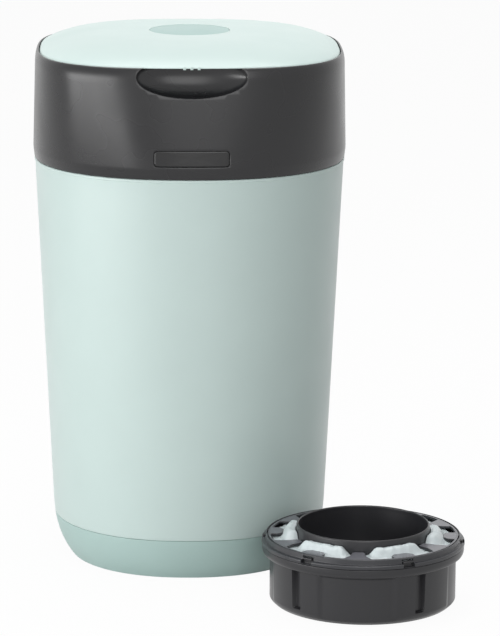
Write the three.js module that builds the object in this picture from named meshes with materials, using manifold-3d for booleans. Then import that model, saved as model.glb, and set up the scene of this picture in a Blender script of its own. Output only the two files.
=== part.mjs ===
// Nappy bin: a tub on its base cup, a head that lifts off with a hinged lid, a ratcheted carousel
// that takes a film cassette, four sprung flaps that hold the waste down, a film cutter, and one
// refill cassette standing on the floor beside the bin.
// Millimetres, +Z up. The origin is the centre of the bin's base on the floor; the front faces -Y.
import * as THREE from "three";
import { mergeVertices } from "three/addons/utils/BufferGeometryUtils.js";
import Module from "manifold-3d";

const wasm = await Module();
wasm.setup();

// Fits
const seatGap = 0.3;
const runGap = 0.5;
const overrun = 5;

// Facets
const bodySegments = 32;
const smallSegments = 10;
const arcSteps = 4;
const shoulderSteps = 3;

// Outline of the bin, as half widths of a rounded square whose corners square off with height
const footExponent = 2.15;
const seatExponent = 2.25;
const topExponent = 2.9;
const tubHeight = 339.2;
const tubInset = 1.6;
const tubDraft = 15.8;
const footInset = 12.6;
const footRise = 48;
const footPower = 2.7;

// Tub and base cup
const tubWall = 2.4;
const partingHeight = 35;
const baseFloor = 2.6;
const baseWall = 2.6;
const spigotHeight = 12;
const spigotWall = 2;
const spigotGap = 0.35;
const neckHeight = 12.7;
const neckGap = 0.6;
const neckTuck = 9;
const footCurveShares = [0.05, 0.16, 0.36, 0.66];

// Collar
const collarLowHalf = 130.2;
const collarDraft = 2.3;
const collarHeight = 89.5;
const collarWall = 3;
const collarEdge = 1.4;
const shoulderDrop = 9.3;
const lipWidth = 0.6;
const ledgeDrop = 4.8;
const ledgeThick = 3;
const ledgeWidth = 6.7;

// Finger scoop and badge recess in the front of the collar
const scoopHalfWidth = 45;
const scoopHalfHeight = 17;
const scoopDepth = 14;
const scoopWall = 2.2;
const scoopDrop = 7;
const badgeWidth = 60.8;
const badgeHeight = 13;
const badgeCorner = 3;
const badgeRise = 16.9;
const badgePocket = 2.2;
const badgeSunk = 0.9;

// Screw posts inside the collar's corners
const postRadius = 4.2;
const postPilot = 1.85;
const postRib = 3;
const screwHeadRadius = 4;
const screwHeadHeight = 2.6;
const screwShaftRadius = 1.5;
const screwLength = 18;
const screwHole = 1.9;

// Lid
const lidInset = 3.75;
const lidGap = 0.55;
const lidWall = 2.6;
const lidRise = 13.2;
const lidPower = 5.4;
const domeShares = [0.97, 0.92, 0.84, 0.71, 0.5];
const nubWidth = 2.4;
const nubDrop = 1.2;
const nubDepth = 2;
const reliefMargin = 0.2;
const reliefDepth = 7.2;
const nubPitch = 5.8;
const nubCount = 3;
const inlayRadius = 33;
const inlayBack = 6;
const inlayDepth = 1.3;
const inlayThick = 0.8;

// Lid liner, its screws and the seal
const linerInset = 5.05;
const linerBand = 12.5;
const linerSlope = 8;
const linerRise = 5.1;
const linerThick = 2.2;
const lidScrewInset = 36.5;
const lidPostRadius = 4;
const lidScrewHeadRadius = 3.6;
const lidScrewHeadHeight = 1.8;
const lidScrewRadius = 1.4;
const lidScrewLength = 7.6;
const sealInset = 1.2;
const sealWidth = 3.2;
const sealHeight = 3.1;

// Lid hinge at the back
const hingeBehind = 4.7;
const hingeDrop = 3;
const hingeRadius = 4.5;
const hingePinRadius = 1.6;
const knuckleHalfLength = 20;
const earLength = 9.5;
const earDepth = 17;
const earBury = 2.6;
const tongueThick = 3.8;
const tongueReach = 13.6;

// Deck round the carousel
const deckFlangeInset = 3.5;
const deckFlangeThick = 3;
const deckStepGap = 0.7;
const deckLandRise = 1.3;
const deckLandWidth = 12;
const deckRingInset = 0.8;
const deckRingWall = 2.2;
const deckRingHeight = 4;
const deckDepth = 21.2;
const deckWaistInset = 10.5;

// Chassis plate with the tube that carries the carousel
const chassisGap = 1.2;
const chassisThick = 3;
const bearingGap = 2;
const bearingWall = 3;
const bearingHeight = 23.1;

// Gripper cage under the chassis
const cageFlangeWidth = 11;
const cageInset = 1;
const cageWall = 2.5;
const cageDepth = 34;
const cageFloor = 2.5;
const cageFloorWidth = 36;
const cageScrewInset = 4.5;
const cageScrewHeadRadius = 2.6;
const cageScrewHeadHeight = 1.7;
const cageScrewRadius = 1.2;
const cageScrewLength = 5.5;
const cageScrewHole = 1.6;

// Flaps that grip the waste, with their pins and springs
const flapCount = 4;
const flapPivotShare = 0.6977;
const flapPivotDrop = 21.9;
const flapTipGap = 4;
const flapRootShare = 0.717;
const flapTipHalf = 9;
const flapThick = 2.4;
const flapSlope = 35;
const flapBarrel = 3.6;
const flapSpringGap = 7;
const flapPinRadius = 1.5;
const flapEarThick = 4;
const flapEarHalf = 4;
const flapEarTop = 4;
const springWire = 0.8;
const springTurns = 3;
const springLeg = 9;
const springSteps = 26;
const springSides = 4;
const springLegShare = 0.14;

// Carousel cup
const cupFloorWidth = 26.6;
const cupInset = 4.9;
const cupWall = 3.4;
const cupFloor = 2.2;
const cupDrop = 12.2;
const cupFlangeInset = 0.5;
const cupFlangeThick = 3;

// Ratchet ring and pawl
const ratchetGap = 3;
const ratchetWidth = 8.6;
const toothHeight = 3;
const ratchetHeight = 6;
const toothCount = 36;
const pawlOffset = 9.4;
const pawlAzimuth = 190;
const pawlHub = 3.4;
const pawlThick = 5;
const pawlNoseGap = 1.6;
const pawlNoseAzimuth = 180.6;
const pawlHeel = 2.4;
const pawlPinRadius = 1.4;
const pawlPostRadius = 3.6;
const pawlPostHeight = 17.4;
const pawlSpringHeight = 2.6;

// Twist ring
const ringGap = 2.2;
const ringInnerShare = 0.8204;
const ringShelf = 15;
const ringHeight = 23.2;
const ringLipWidth = 5.7;
const ringLipDraft = 0.8;
const ringEdge = 1.2;
const gripCount = 12;
const gripRadius = 6;
const gripBite = 1.5;

// Film cutter
const cutterOffset = 0.5;
const cutterAzimuth = -60;
const cutterSweep = 22;
const cutterHalfWidth = 3.5;
const cutterThick = 4.7;
const cutterPinRadius = 1.3;
const cutterPinDepth = 11;
const bladeThick = 0.8;
const bladeOut = 4;
const bladeIn = 3;
const bladeStart = 12;
const bladeEnd = 19;

// Refill cassette, standing beside the bin
const cassetteX = 138.5;
const cassetteY = -160.4;
const cassetteAzimuth = -97;
const drumFoot = 72;
const drumLow = 76.4;
const drumHigh = 77.4;
const drumFootRise = 6;
const drumWallHeight = 39.7;
const drumBeadReach = 81.8;
const drumBeadRise = 1.5;
const drumBeadHeight = 6.6;
const drumSpigot = 79.2;
const drumSpigotHeight = 4.2;
const drumSpigotWall = 2.2;
const drumWall = 2.2;
const drumFloor = 2.2;
const tubeFootOuter = 55.3;
const tubeHighOuter = 54.6;
const tubeFootInner = 49;
const tubeRimInner = 52.2;
const tubeRise = 8.7;
const tubeRimDepth = 4;
const tubeRimRound = 0.8;
const bayHalfAngle = 21;
const bayDepth = 1;
const bayLow = 4;
const bayHigh = 38.7;
const bayCount = 4;
const slotHalfAngle = 3.4;
const slotAzimuths = [40, 140, 220, 320];
const slotDepth = 1.4;
const capInner = 57;
const capOuter = 82.2;
const capThick = 2;
const capSkirt = 7.2;
const capChamferWidth = 3.3;
const capChamferDrop = 3.4;
const grooveInner = 75.8;
const grooveOuter = 78;
const grooveDepth = 1.2;
const windowCount = 6;
const windowOuter = 74.8;
const windowHalfAngle = 25;
const lobeWidth = 19;
const lobeReach = 10;
const lobeCorner = 4;
const lobeBury = 0.3;
const clipWidth = 10;
const clipLow = 0.8;
const clipHeight = 4.4;
const hookInset = 0.8;
const tabWidth = 8;
const tabReach = 1.4;
const tabBury = 3;
const filmInner = 56;
const filmOuter = 73.6;

// Finishes
const finishes = {
  mint: { color: "#dcebe8", roughness: 0.42, metalness: 0 },
  mintBase: { color: "#bcd8d3", roughness: 0.5, metalness: 0 },
  mintInlay: { color: "#b9d5d1", roughness: 0.4, metalness: 0 },
  charcoal: { color: "#3a3c3f", roughness: 0.45, metalness: 0 },
  badge: { color: "#323234", roughness: 0.3, metalness: 0 },
  grey: { color: "#a9aeb0", roughness: 0.5, metalness: 0 },
  cassette: { color: "#45484c", roughness: 0.55, metalness: 0 },
  cap: { color: "#85888d", roughness: 0.5, metalness: 0 },
  film: { color: "#c8d8dc", roughness: 0.35, metalness: 0 },
  rubber: { color: "#2b2c2e", roughness: 0.8, metalness: 0 },
  steel: { color: "#b8bcc0", roughness: 0.3, metalness: 1 },
};

// Helpers of the sizes below
const quarterTurn = Math.PI / 2;
const radians = (degrees) => THREE.MathUtils.degToRad(degrees);
const mix = THREE.MathUtils.lerp;
const quarters = [45, 135, 225, 315];

// Levels and places that follow from the sizes above
const collarHighHalf = collarLowHalf - collarDraft;
const tubTopHalf = collarLowHalf - tubInset;
const tubFloorHalf = tubTopHalf - tubDraft;
const lidHalf = collarHighHalf - lidInset;
const linerHalf = lidHalf - lidWall - linerInset;
const lidScrewReach = linerHalf - lidScrewInset;
const lipInner = lidHalf + lidGap;
const ledgeHalf = lipInner - ledgeWidth;
const deckLandInner = ledgeHalf - deckLandWidth;
const deckRingInner = deckLandInner - deckRingInset;
const deckWaist = ledgeHalf - deckWaistInset;
const sealInner = deckLandInner + sealInset;
const ringOuter = deckRingInner - ringGap;
const ringInner = ringOuter * ringInnerShare;
const ringLipInner = ringOuter - ringLipWidth;
const ringLipFoot = ringLipInner - ringLipDraft;
const cutterReach = (ringInner + ringLipFoot) / 2 - cutterOffset;
const cupInner = ringInner - cupInset;
const cupHole = cupInner - cupFloorWidth;
const cupFlangeReach = ringOuter - cupFlangeInset;
const bearingInner = cupInner + cupWall + bearingGap;
const ratchetInner = bearingInner + bearingWall + ratchetGap;
const ratchetRoot = ratchetInner + ratchetWidth;
const ratchetTip = ratchetRoot + toothHeight;
const pawlReach = ratchetTip + pawlOffset;
const pawlNoseReach = ratchetRoot + pawlNoseGap;
const cageFlangeInner = bearingInner + cageInset;
const cageFlangeReach = cageFlangeInner + cageFlangeWidth;
const cageFloorInner = cageFlangeInner - cageFloorWidth;
const cageScrewReach = cageFlangeReach - cageScrewInset;
const flapPivotReach = cageFlangeInner * flapPivotShare;
const flapLength = flapPivotReach - flapTipGap;
const flapRootHalf = flapPivotReach * flapRootShare;
const collarBottom = tubHeight + seatGap;
const collarTop = collarBottom + collarHeight;
const badgeLevel = collarBottom + badgeRise;
const shoulderLevel = collarTop - shoulderDrop;
const ledgeTop = collarTop - ledgeDrop;
const ledgeBottom = ledgeTop - ledgeThick;
const neckTop = tubHeight + neckHeight;
const chassisBottom = neckTop + seatGap;
const chassisTop = chassisBottom + chassisThick;
const chassisHalf = collarHalf(chassisBottom) - collarWall - chassisGap;
const bearingTop = chassisTop + bearingHeight;
const postBottom = chassisTop + seatGap;
const deckFlangeTop = ledgeBottom - seatGap;
const deckFlangeBottom = deckFlangeTop - deckFlangeThick;
const deckFlangeHalf = collarHighHalf - collarWall - deckFlangeInset;
const deckTop = deckFlangeTop + deckLandRise;
const postTop = deckFlangeBottom - seatGap;
const postWall = (collarHighHalf - collarWall / 2) * cornerFactor(radians(45), topExponent);
const neckOuter = collarHalf(neckTop) - collarWall - neckGap;
const neckInner = neckOuter - tubWall;
const neckCorner = neckInner * cornerFactor(radians(45), seatExponent);
const postReach = neckCorner - screwHeadRadius - runGap;
const rimBottom = ledgeTop + runGap;
const lidEdge = collarTop - seatGap;
const bowlTop = lidEdge - runGap;
const sealBottom = deckTop + seatGap;
const linerBottom = sealBottom + sealHeight + seatGap;
const linerTop = linerBottom + linerRise + linerThick;
const hingeY = collarHighHalf + hingeBehind;
const hingeZ = collarTop - hingeDrop;
const cupLevel = chassisBottom - cupDrop;
const cupFlangeBottom = bearingTop + seatGap;
const cupFlangeTop = cupFlangeBottom + cupFlangeThick;
const ringBottom = cupFlangeTop + seatGap;
const shelfLevel = ringBottom + ringShelf;
const ratchetTop = cupFlangeBottom - seatGap;
const ratchetBottom = ratchetTop - ratchetHeight;
const pawlBottom = chassisTop + pawlPostHeight + seatGap;
const pawlTop = pawlBottom + pawlThick;
const cageTop = chassisBottom - seatGap;
const cageFlangeBottom = cageTop - cageFloor;
const cageBottom = cageTop - cageDepth;
const cageFloorTop = cageBottom + cageFloor;
const flapPivotLevel = cageTop - flapPivotDrop;
const capLevel = drumWallHeight + drumBeadRise + drumBeadHeight + seatGap;
const capTop = capLevel + capSkirt;
const capUnder = capTop - capThick;
const tubeHeight = capTop + tubeRise;

// Half width of the tub's side at a height.
function tubHalf(z) {
  const tuck = Math.max(0, 1 - z / footRise) ** footPower;
  return mix(tubFloorHalf, tubTopHalf, z / tubHeight) - footInset * tuck;
}

// Half width of the collar's side at a height.
function collarHalf(z) {
  return mix(collarLowHalf, collarHighHalf, (z - collarBottom) / (shoulderLevel - collarBottom));
}

// How square the outline is at a height.
function exponentAt(z) {
  if (z <= tubHeight) return mix(footExponent, seatExponent, z / tubHeight);
  const rise = (z - tubHeight) / (shoulderLevel - tubHeight);
  return mix(seatExponent, topExponent, Math.min(1, rise));
}

// How far a rounded square reaches at an angle, as a multiple of its half width.
function cornerFactor(angle, exponent) {
  const across = Math.abs(Math.cos(angle)) ** exponent;
  const along = Math.abs(Math.sin(angle)) ** exponent;
  return (across + along) ** (-1 / exponent);
}

// One point of a turned outline. Round stretches give the exponent 2.
function at(half, z, exponent = exponentAt(z)) {
  return { half, z, exponent };
}

function round(radius, z) {
  return at(radius, z, 2);
}

// A closed geometry as a solid that can be joined and cut.
function solidOf(geometry) {
  const bare = geometry.clone();
  bare.deleteAttribute("normal");
  bare.deleteAttribute("uv");
  const merged = mergeVertices(bare);
  const corners = merged.index.array;
  const kept = [];
  for (let i = 0; i < corners.length; i += 3) {
    const [a, b, c] = corners.slice(i, i + 3);
    if (a !== b && b !== c && c !== a) kept.push(a, b, c);
  }
  const mesh = new wasm.Mesh({
    numProp: 3,
    vertProperties: new Float32Array(merged.attributes.position.array),
    triVerts: new Uint32Array(kept),
  });
  return new wasm.Manifold(mesh);
}

// Turns an outline about the Z axis and squares it to each point's exponent.
function turned(outline, segments = bodySegments) {
  const onAxis = outline[0].half === 0;
  const points = onAxis ? outline : [...outline, outline[0]];
  const profile = points.map((point) => new THREE.Vector2(point.half, point.z));
  const geometry = new THREE.LatheGeometry(profile, segments);
  const places = geometry.attributes.position;
  for (let i = 0; i < places.count; i += 1) {
    const angle = Math.atan2(places.getZ(i), places.getX(i));
    const factor = cornerFactor(angle, points[i % points.length].exponent);
    places.setX(i, places.getX(i) * factor);
    places.setZ(i, places.getZ(i) * factor);
  }
  return solidOf(geometry.rotateX(quarterTurn));
}

// Extrudes a shape drawn in plan upwards from a level.
function raised(shape, bottom, height) {
  const geometry = new THREE.ExtrudeGeometry(shape, {
    depth: height,
    bevelEnabled: false,
    curveSegments: arcSteps,
  });
  return solidOf(geometry.translate(0, 0, bottom));
}

// Extrudes a shape drawn in the YZ plane along X, centred on the middle plane.
function sideways(shape, length) {
  const geometry = new THREE.ExtrudeGeometry(shape, {
    depth: length,
    bevelEnabled: false,
    curveSegments: arcSteps,
  });
  geometry.translate(0, 0, -length / 2);
  const turn = new THREE.Matrix4().makeBasis(
    new THREE.Vector3(0, 1, 0),
    new THREE.Vector3(0, 0, 1),
    new THREE.Vector3(1, 0, 0),
  );
  return solidOf(geometry.applyMatrix4(turn));
}

function block(low, high) {
  const geometry = new THREE.BoxGeometry(high[0] - low[0], high[1] - low[1], high[2] - low[2]);
  const middle = low.map((value, i) => (value + high[i]) / 2);
  return solidOf(geometry.translate(...middle));
}

// An upright rod, and a rod along X or Y about a point.
function upright(radius, x, y, bottom, top, segments = smallSegments) {
  const geometry = new THREE.CylinderGeometry(radius, radius, top - bottom, segments);
  geometry.rotateX(quarterTurn);
  return solidOf(geometry.translate(x, y, (bottom + top) / 2));
}

function rodAlongX(radius, halfLength, y, z, segments = smallSegments) {
  const geometry = new THREE.CylinderGeometry(radius, radius, 2 * halfLength, segments);
  geometry.rotateZ(quarterTurn);
  return solidOf(geometry.translate(0, y, z));
}

function rodAlongY(radius, halfLength, x, z, segments = smallSegments) {
  const geometry = new THREE.CylinderGeometry(radius, radius, 2 * halfLength, segments);
  return solidOf(geometry.translate(x, 0, z));
}

function ellipsoid(halfX, halfY, halfZ, x, y, z) {
  const ball = new THREE.SphereGeometry(1, 2 * smallSegments, smallSegments);
  return solidOf(ball.scale(halfX, halfY, halfZ).translate(x, y, z));
}

// A plan shape between two radii and either side of an angle in degrees.
function sector(inner, outer, middle, halfAngle) {
  const from = radians(middle - halfAngle);
  const to = radians(middle + halfAngle);
  const shape = new THREE.Shape();
  shape.absarc(0, 0, outer, from, to, false);
  shape.absarc(0, 0, inner, to, from, true);
  return shape;
}

// An outline round a list of plan points.
function polygon(points) {
  return new THREE.Shape(points.map(([x, y]) => new THREE.Vector2(x, y)));
}

function spot(reach, azimuth) {
  return [reach * Math.cos(radians(azimuth)), reach * Math.sin(radians(azimuth))];
}

function turnedAbout(solid, azimuth) {
  return solid.rotate([0, 0, azimuth]);
}

function joined(solids) {
  return solids.reduce((whole, solid) => whole.add(solid));
}

function without(solid, cutters) {
  return cutters.reduce((left, cutter) => left.subtract(cutter), solid);
}

// A screw whose head is below and whose shaft points up.
function screw(headRadius, headHeight, shaftRadius, length, headTop, reach, azimuth) {
  const [x, y] = spot(reach, azimuth);
  const headBottom = headTop - headHeight;
  const outline = [
    round(0, headBottom),
    round(headRadius, headBottom),
    round(headRadius, headTop),
    round(shaftRadius, headTop),
    round(shaftRadius, headTop + length),
    round(0, headTop + length),
  ];
  return turned(outline, smallSegments).translate([x, y, 0]);
}

// The centre line of a torsion spring about the Y axis, with one straight leg along -X.
class SpringLine extends THREE.Curve {
  constructor(radius, length) {
    super();
    this.radius = radius;
    this.length = length;
  }

  getPoint(t) {
    const coilShare = 1 - springLegShare;
    const turn = Math.min(1, t / coilShare);
    const angle = 2 * Math.PI * springTurns * turn - quarterTurn;
    const out = Math.max(0, (t - coilShare) / springLegShare);
    const x = this.radius * Math.cos(angle) - springLeg * out;
    const z = this.radius * Math.sin(angle);
    return new THREE.Vector3(x, (turn - 1 / 2) * this.length, z);
  }
}

function spring(radius, length) {
  const section = new THREE.Shape();
  const step = (2 * Math.PI) / springSides;
  for (let i = 0; i < springSides; i += 1) {
    const x = (springWire / 2) * Math.cos(i * step);
    const y = (springWire / 2) * Math.sin(i * step);
    if (i === 0) section.moveTo(x, y);
    else section.lineTo(x, y);
  }
  const line = new SpringLine(radius, length);
  return solidOf(new THREE.ExtrudeGeometry(section, { steps: springSteps, extrudePath: line }));
}

const bin = new THREE.Group();

// Adds one sub-part under its own name.
function addPiece(name, solid, finish, parent = bin) {
  const { vertProperties, triVerts, numProp } = solid.getMesh();
  const places = new Float32Array((vertProperties.length / numProp) * 3);
  for (let i = 0; i < places.length / 3; i += 1) {
    places.set(vertProperties.subarray(i * numProp, i * numProp + 3), i * 3);
  }
  const geometry = new THREE.BufferGeometry();
  geometry.setAttribute("position", new THREE.BufferAttribute(places, 3));
  geometry.setIndex(new THREE.BufferAttribute(new Uint32Array(triVerts), 1));
  geometry.computeVertexNormals();
  const mesh = new THREE.Mesh(geometry, new THREE.MeshStandardMaterial(finishes[finish]));
  mesh.name = name;
  parent.add(mesh);
}

// The tub's straight side, open at the bottom, with the neck that the head plugs over.
function tubShell() {
  const low = partingHeight + seatGap;
  const mid = partingHeight + spigotHeight / 2;
  const tuckFoot = tubHeight - neckTuck;
  const tuckHead = tubHeight - neckTuck / 2;
  return turned([
    at(tubHalf(low) - tubWall, low),
    at(tubHalf(low), low),
    at(tubHalf(mid), mid),
    at(tubHalf(footRise), footRise),
    at(tubTopHalf, tubHeight),
    at(neckOuter, tubHeight),
    at(neckOuter, neckTop, seatExponent),
    at(neckInner, neckTop, seatExponent),
    at(neckInner, tuckHead),
    at(tubHalf(tuckFoot) - tubWall, tuckFoot),
    at(tubHalf(footRise) - tubWall, footRise),
    at(tubHalf(mid) - tubWall, mid),
  ]);
}

// The floor of the bin, with the foot's curve outside and a spigot that plugs into the side.
function baseCup() {
  const plug = (z) => tubHalf(z) - tubWall - spigotGap;
  const mid = partingHeight + spigotHeight / 2;
  const top = partingHeight + spigotHeight;
  const plugInner = plug(partingHeight) - spigotWall;
  const inside = (z) => Math.min(tubHalf(z) - baseWall, plugInner);
  const curve = footCurveShares.map((share) => share * partingHeight);
  const innerCurve = curve.filter((z) => z > baseFloor).reverse();
  return turned([
    at(0, 0),
    at(tubHalf(0), 0),
    ...curve.map((z) => at(tubHalf(z), z)),
    at(tubHalf(partingHeight), partingHeight),
    at(plug(partingHeight), partingHeight),
    at(plug(mid), mid),
    at(plug(top), top),
    at(plug(top) - spigotWall, top),
    at(plugInner, partingHeight),
    ...innerCurve.map((z) => at(inside(z), z)),
    at(tubHalf(baseFloor) - 2 * baseWall, baseFloor),
    at(0, baseFloor),
  ]);
}

// The full volume inside the collar's outer face, drawn in by a depth.
function collarBulk(depth) {
  return turned([
    at(0, collarBottom),
    at(collarLowHalf - depth, collarBottom),
    at(collarHighHalf - depth, shoulderLevel),
    at(0, shoulderLevel),
  ]);
}

function scoopBall(extra) {
  const y = -collarHalf(shoulderLevel);
  const z = collarTop - scoopDrop;
  const depth = scoopDepth + extra;
  return ellipsoid(scoopHalfWidth + extra, depth, scoopHalfHeight + extra, 0, y, z);
}

// The finger scoop's wall, cut to the space behind the collar's face and below the lid's edge.
function scoopBowl() {
  const keep = turned([
    at(0, collarBottom),
    at(collarLowHalf - collarWall / 2, collarBottom),
    at(collarHighHalf - collarWall / 2, shoulderLevel),
    at(lipInner, bowlTop),
    at(0, bowlTop),
  ]);
  return scoopBall(scoopWall).intersect(keep);
}

// A rounded rectangle in the front face, long enough to pass through the collar's wall.
function badgeBlock(width, height, corner) {
  const x = width / 2;
  const y = height / 2;
  const shape = new THREE.Shape();
  shape.moveTo(-x + corner, -y);
  shape.lineTo(x - corner, -y);
  shape.absarc(x - corner, -y + corner, corner, -quarterTurn, 0, false);
  shape.absarc(x - corner, y - corner, corner, 0, quarterTurn, false);
  shape.absarc(-x + corner, y - corner, corner, quarterTurn, Math.PI, false);
  shape.absarc(-x + corner, -y + corner, corner, Math.PI, 3 * quarterTurn, false);
  const depth = collarLowHalf / 2;
  const geometry = new THREE.ExtrudeGeometry(shape, {
    depth,
    bevelEnabled: false,
    curveSegments: arcSteps,
  });
  geometry.rotateX(quarterTurn);
  return solidOf(geometry.translate(0, depth - collarLowHalf - overrun, badgeLevel));
}

// A post in each corner takes the chassis screws and carries the deck. Its rib ends in the wall.
function screwPosts() {
  const bulk = collarBulk(collarWall / 2);
  const rib = block([postReach, -postRib / 2, postBottom], [postWall, postRib / 2, postTop]);
  const post = upright(postRadius, postReach, 0, postBottom, postTop);
  return quarters.map((azimuth) => turnedAbout(post.add(rib), azimuth).intersect(bulk));
}

function postPilots() {
  const depth = screwLength + overrun;
  const hole = upright(postPilot, postReach, 0, postBottom - overrun, postBottom + depth);
  return quarters.map((azimuth) => turnedAbout(hole, azimuth));
}

// The two ears that hold the lid's hinge pin behind the collar.
function hingeEars() {
  const inner = collarHighHalf - earBury;
  const foot = hingeZ - earDepth;
  const shape = new THREE.Shape();
  shape.moveTo(inner, foot);
  shape.lineTo(collarHighHalf, foot);
  shape.lineTo(hingeY + hingeRadius * Math.cos(-quarterTurn / 2), hingeZ - hingeRadius * Math.SQRT1_2);
  shape.absarc(hingeY, hingeZ, hingeRadius, -quarterTurn / 2, Math.PI, false);
  shape.lineTo(inner, hingeZ - hingeRadius);
  const middle = knuckleHalfLength + runGap + earLength / 2;
  const ear = sideways(shape, earLength);
  return [ear.translate([middle, 0, 0]), ear.translate([-middle, 0, 0])];
}

// The room that the lid's tongue needs through the collar's lip.
function tongueNotch() {
  const half = knuckleHalfLength + runGap;
  const bottom = tongueBottom() - runGap;
  return block([-half, ledgeHalf - overrun, bottom], [half, hingeY, collarTop + overrun]);
}

function tongueBottom() {
  return collarTop - lidWall / 2 - tongueThick / 2 - runGap * 2;
}

function collar() {
  const arc = [];
  const shoulderWidth = collarHighHalf - lipInner - lipWidth;
  for (let i = 1; i <= shoulderSteps; i += 1) {
    const angle = (quarterTurn * i) / shoulderSteps;
    const half = collarHighHalf - shoulderWidth * (1 - Math.cos(angle));
    arc.push(at(half, shoulderLevel + shoulderDrop * Math.sin(angle)));
  }
  const edge = collarEdge * (1 - Math.SQRT1_2);
  const shell = turned([
    at(collarLowHalf - collarWall, collarBottom),
    at(collarLowHalf - collarEdge, collarBottom),
    at(collarLowHalf - edge, collarBottom + edge),
    at(collarLowHalf, collarBottom + collarEdge),
    at(collarHighHalf, shoulderLevel),
    ...arc,
    at(lipInner, collarTop),
    at(lipInner, ledgeTop),
    at(ledgeHalf, ledgeTop),
    at(ledgeHalf, ledgeBottom),
    at(collarHalf(shoulderLevel) - collarWall, ledgeBottom),
  ]);
  const whole = joined([shell, scoopBowl(), ...screwPosts(), ...hingeEars()]);
  const pocket = badgeBlock(badgeWidth, badgeHeight, badgeCorner).subtract(collarBulk(badgePocket));
  const pinHole = rodAlongX(hingePinRadius + seatGap, hingeY, hingeY, hingeZ);
  return without(whole, [scoopBall(0), pocket, tongueNotch(), pinHole, ...postPilots()]);
}

function badgePlate() {
  const width = badgeWidth - 2 * seatGap;
  const height = badgeHeight - 2 * seatGap;
  const plate = badgeBlock(width, height, badgeCorner - seatGap);
  return plate.intersect(collarBulk(badgeSunk)).subtract(collarBulk(badgePocket - seatGap));
}

// The bezel between the collar's ledge and the carousel.
function deck() {
  const bottom = deckTop - deckDepth;
  const ringTop = bottom + deckRingHeight;
  const ring = turned([
    round(deckRingInner, bottom),
    round(deckRingInner + deckRingWall, bottom),
    at(deckWaist, deckFlangeBottom),
    at(deckFlangeHalf, deckFlangeBottom),
    at(deckFlangeHalf, deckFlangeTop),
    at(ledgeHalf - deckStepGap, deckFlangeTop),
    at(ledgeHalf - deckStepGap, deckTop),
    at(deckLandInner, deckTop),
    round(deckRingInner, ringTop),
  ]);
  return ring.subtract(scoopBall(scoopWall + runGap));
}

// The plate that the carousel turns on, screwed up into the collar's posts.
function chassis() {
  const plate = turned([
    round(bearingInner, chassisBottom),
    at(chassisHalf, chassisBottom),
    at(chassisHalf, chassisTop),
    round(bearingInner + bearingWall, chassisTop),
    round(bearingInner + bearingWall, bearingTop),
    round(bearingInner, bearingTop),
  ]);
  const low = chassisBottom - overrun;
  const high = chassisTop + overrun;
  const postHole = upright(screwHole, postReach, 0, low, high);
  const cageHole = upright(cageScrewHole, cageScrewReach, 0, low, high);
  const holes = quarters.flatMap((azimuth) => [
    turnedAbout(postHole, azimuth),
    turnedAbout(cageHole, azimuth),
  ]);
  const [x, y] = spot(pawlReach, pawlAzimuth);
  const pawlPost = upright(pawlPostRadius, x, y, chassisTop - chassisThick / 2, pawlBottom - seatGap);
  const pawlHole = upright(pawlPinRadius + seatGap, x, y, low, pawlTop);
  return without(plate.add(pawlPost), [...holes, pawlHole]);
}

// The basket under the chassis, with a pair of ears for each flap.
function gripperCage() {
  const basket = turned([
    round(cageFloorInner, cageBottom),
    round(cageFlangeInner + cageWall, cageBottom),
    round(cageFlangeInner + cageWall, cageFlangeBottom),
    round(cageFlangeReach, cageFlangeBottom),
    round(cageFlangeReach, cageTop),
    round(cageFlangeInner, cageTop),
    round(cageFlangeInner, cageFloorTop),
    round(cageFloorInner, cageFloorTop),
  ]);
  const side = flapRootHalf + 2 * runGap;
  const reach = flapPivotReach + flapEarHalf;
  const low = cageBottom - overrun;
  const high = cageFloorTop + overrun;
  const bays = [
    block([-reach, -side, low], [reach, side, high]),
    block([-side, -reach, low], [side, reach, high]),
  ];
  const earStart = side + runGap;
  const inner = flapPivotReach - flapEarHalf;
  const foot = cageFloorTop - cageFloor / 2;
  const top = flapPivotLevel + flapEarTop;
  const earPair = [
    block([inner, earStart, foot], [reach, earStart + flapEarThick, top]),
    block([inner, -earStart - flapEarThick, foot], [reach, -earStart, top]),
  ];
  const pinHole = rodAlongY(
    flapPinRadius + seatGap,
    earStart + flapEarThick + runGap,
    flapPivotReach,
    flapPivotLevel,
  );
  const screwRoom = upright(cageScrewHole, cageScrewReach, 0, low, cageTop + overrun);
  let cage = without(basket, bays);
  for (let i = 0; i < flapCount; i += 1) {
    const azimuth = (360 / flapCount) * i;
    cage = joined([cage, ...earPair.map((ear) => turnedAbout(ear, azimuth))]);
  }
  for (let i = 0; i < flapCount; i += 1) {
    cage = cage.subtract(turnedAbout(pinHole, (360 / flapCount) * i));
  }
  return without(cage, quarters.map((azimuth) => turnedAbout(screwRoom, azimuth)));
}

// One gripping flap, drawn at azimuth 0 and turned to its own.
function flap(azimuth) {
  const plateShape = polygon([
    [0, flapRootHalf],
    [-flapLength, flapTipHalf],
    [-flapLength, -flapTipHalf],
    [0, -flapRootHalf],
  ]);
  const plate = raised(plateShape, -flapThick / 2, flapThick).rotate([0, -flapSlope, 0]);
  const seated = plate.translate([flapPivotReach, 0, flapPivotLevel]);
  const barrel = rodAlongY(flapBarrel, flapRootHalf, flapPivotReach, flapPivotLevel);
  const bore = rodAlongY(flapPinRadius + seatGap, flapLength, flapPivotReach, flapPivotLevel);
  const room = flapBarrel + runGap;
  const springRoom = block(
    [flapPivotReach - room, -flapSpringGap, flapPivotLevel - room],
    [flapPivotReach + room, flapSpringGap, flapPivotLevel + room],
  );
  return turnedAbout(seated.add(barrel).subtract(bore).subtract(springRoom), azimuth);
}

function flapPin(azimuth) {
  const halfLength = flapRootHalf + 3 * runGap + flapEarThick;
  return turnedAbout(rodAlongY(flapPinRadius, halfLength, flapPivotReach, flapPivotLevel), azimuth);
}

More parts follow.
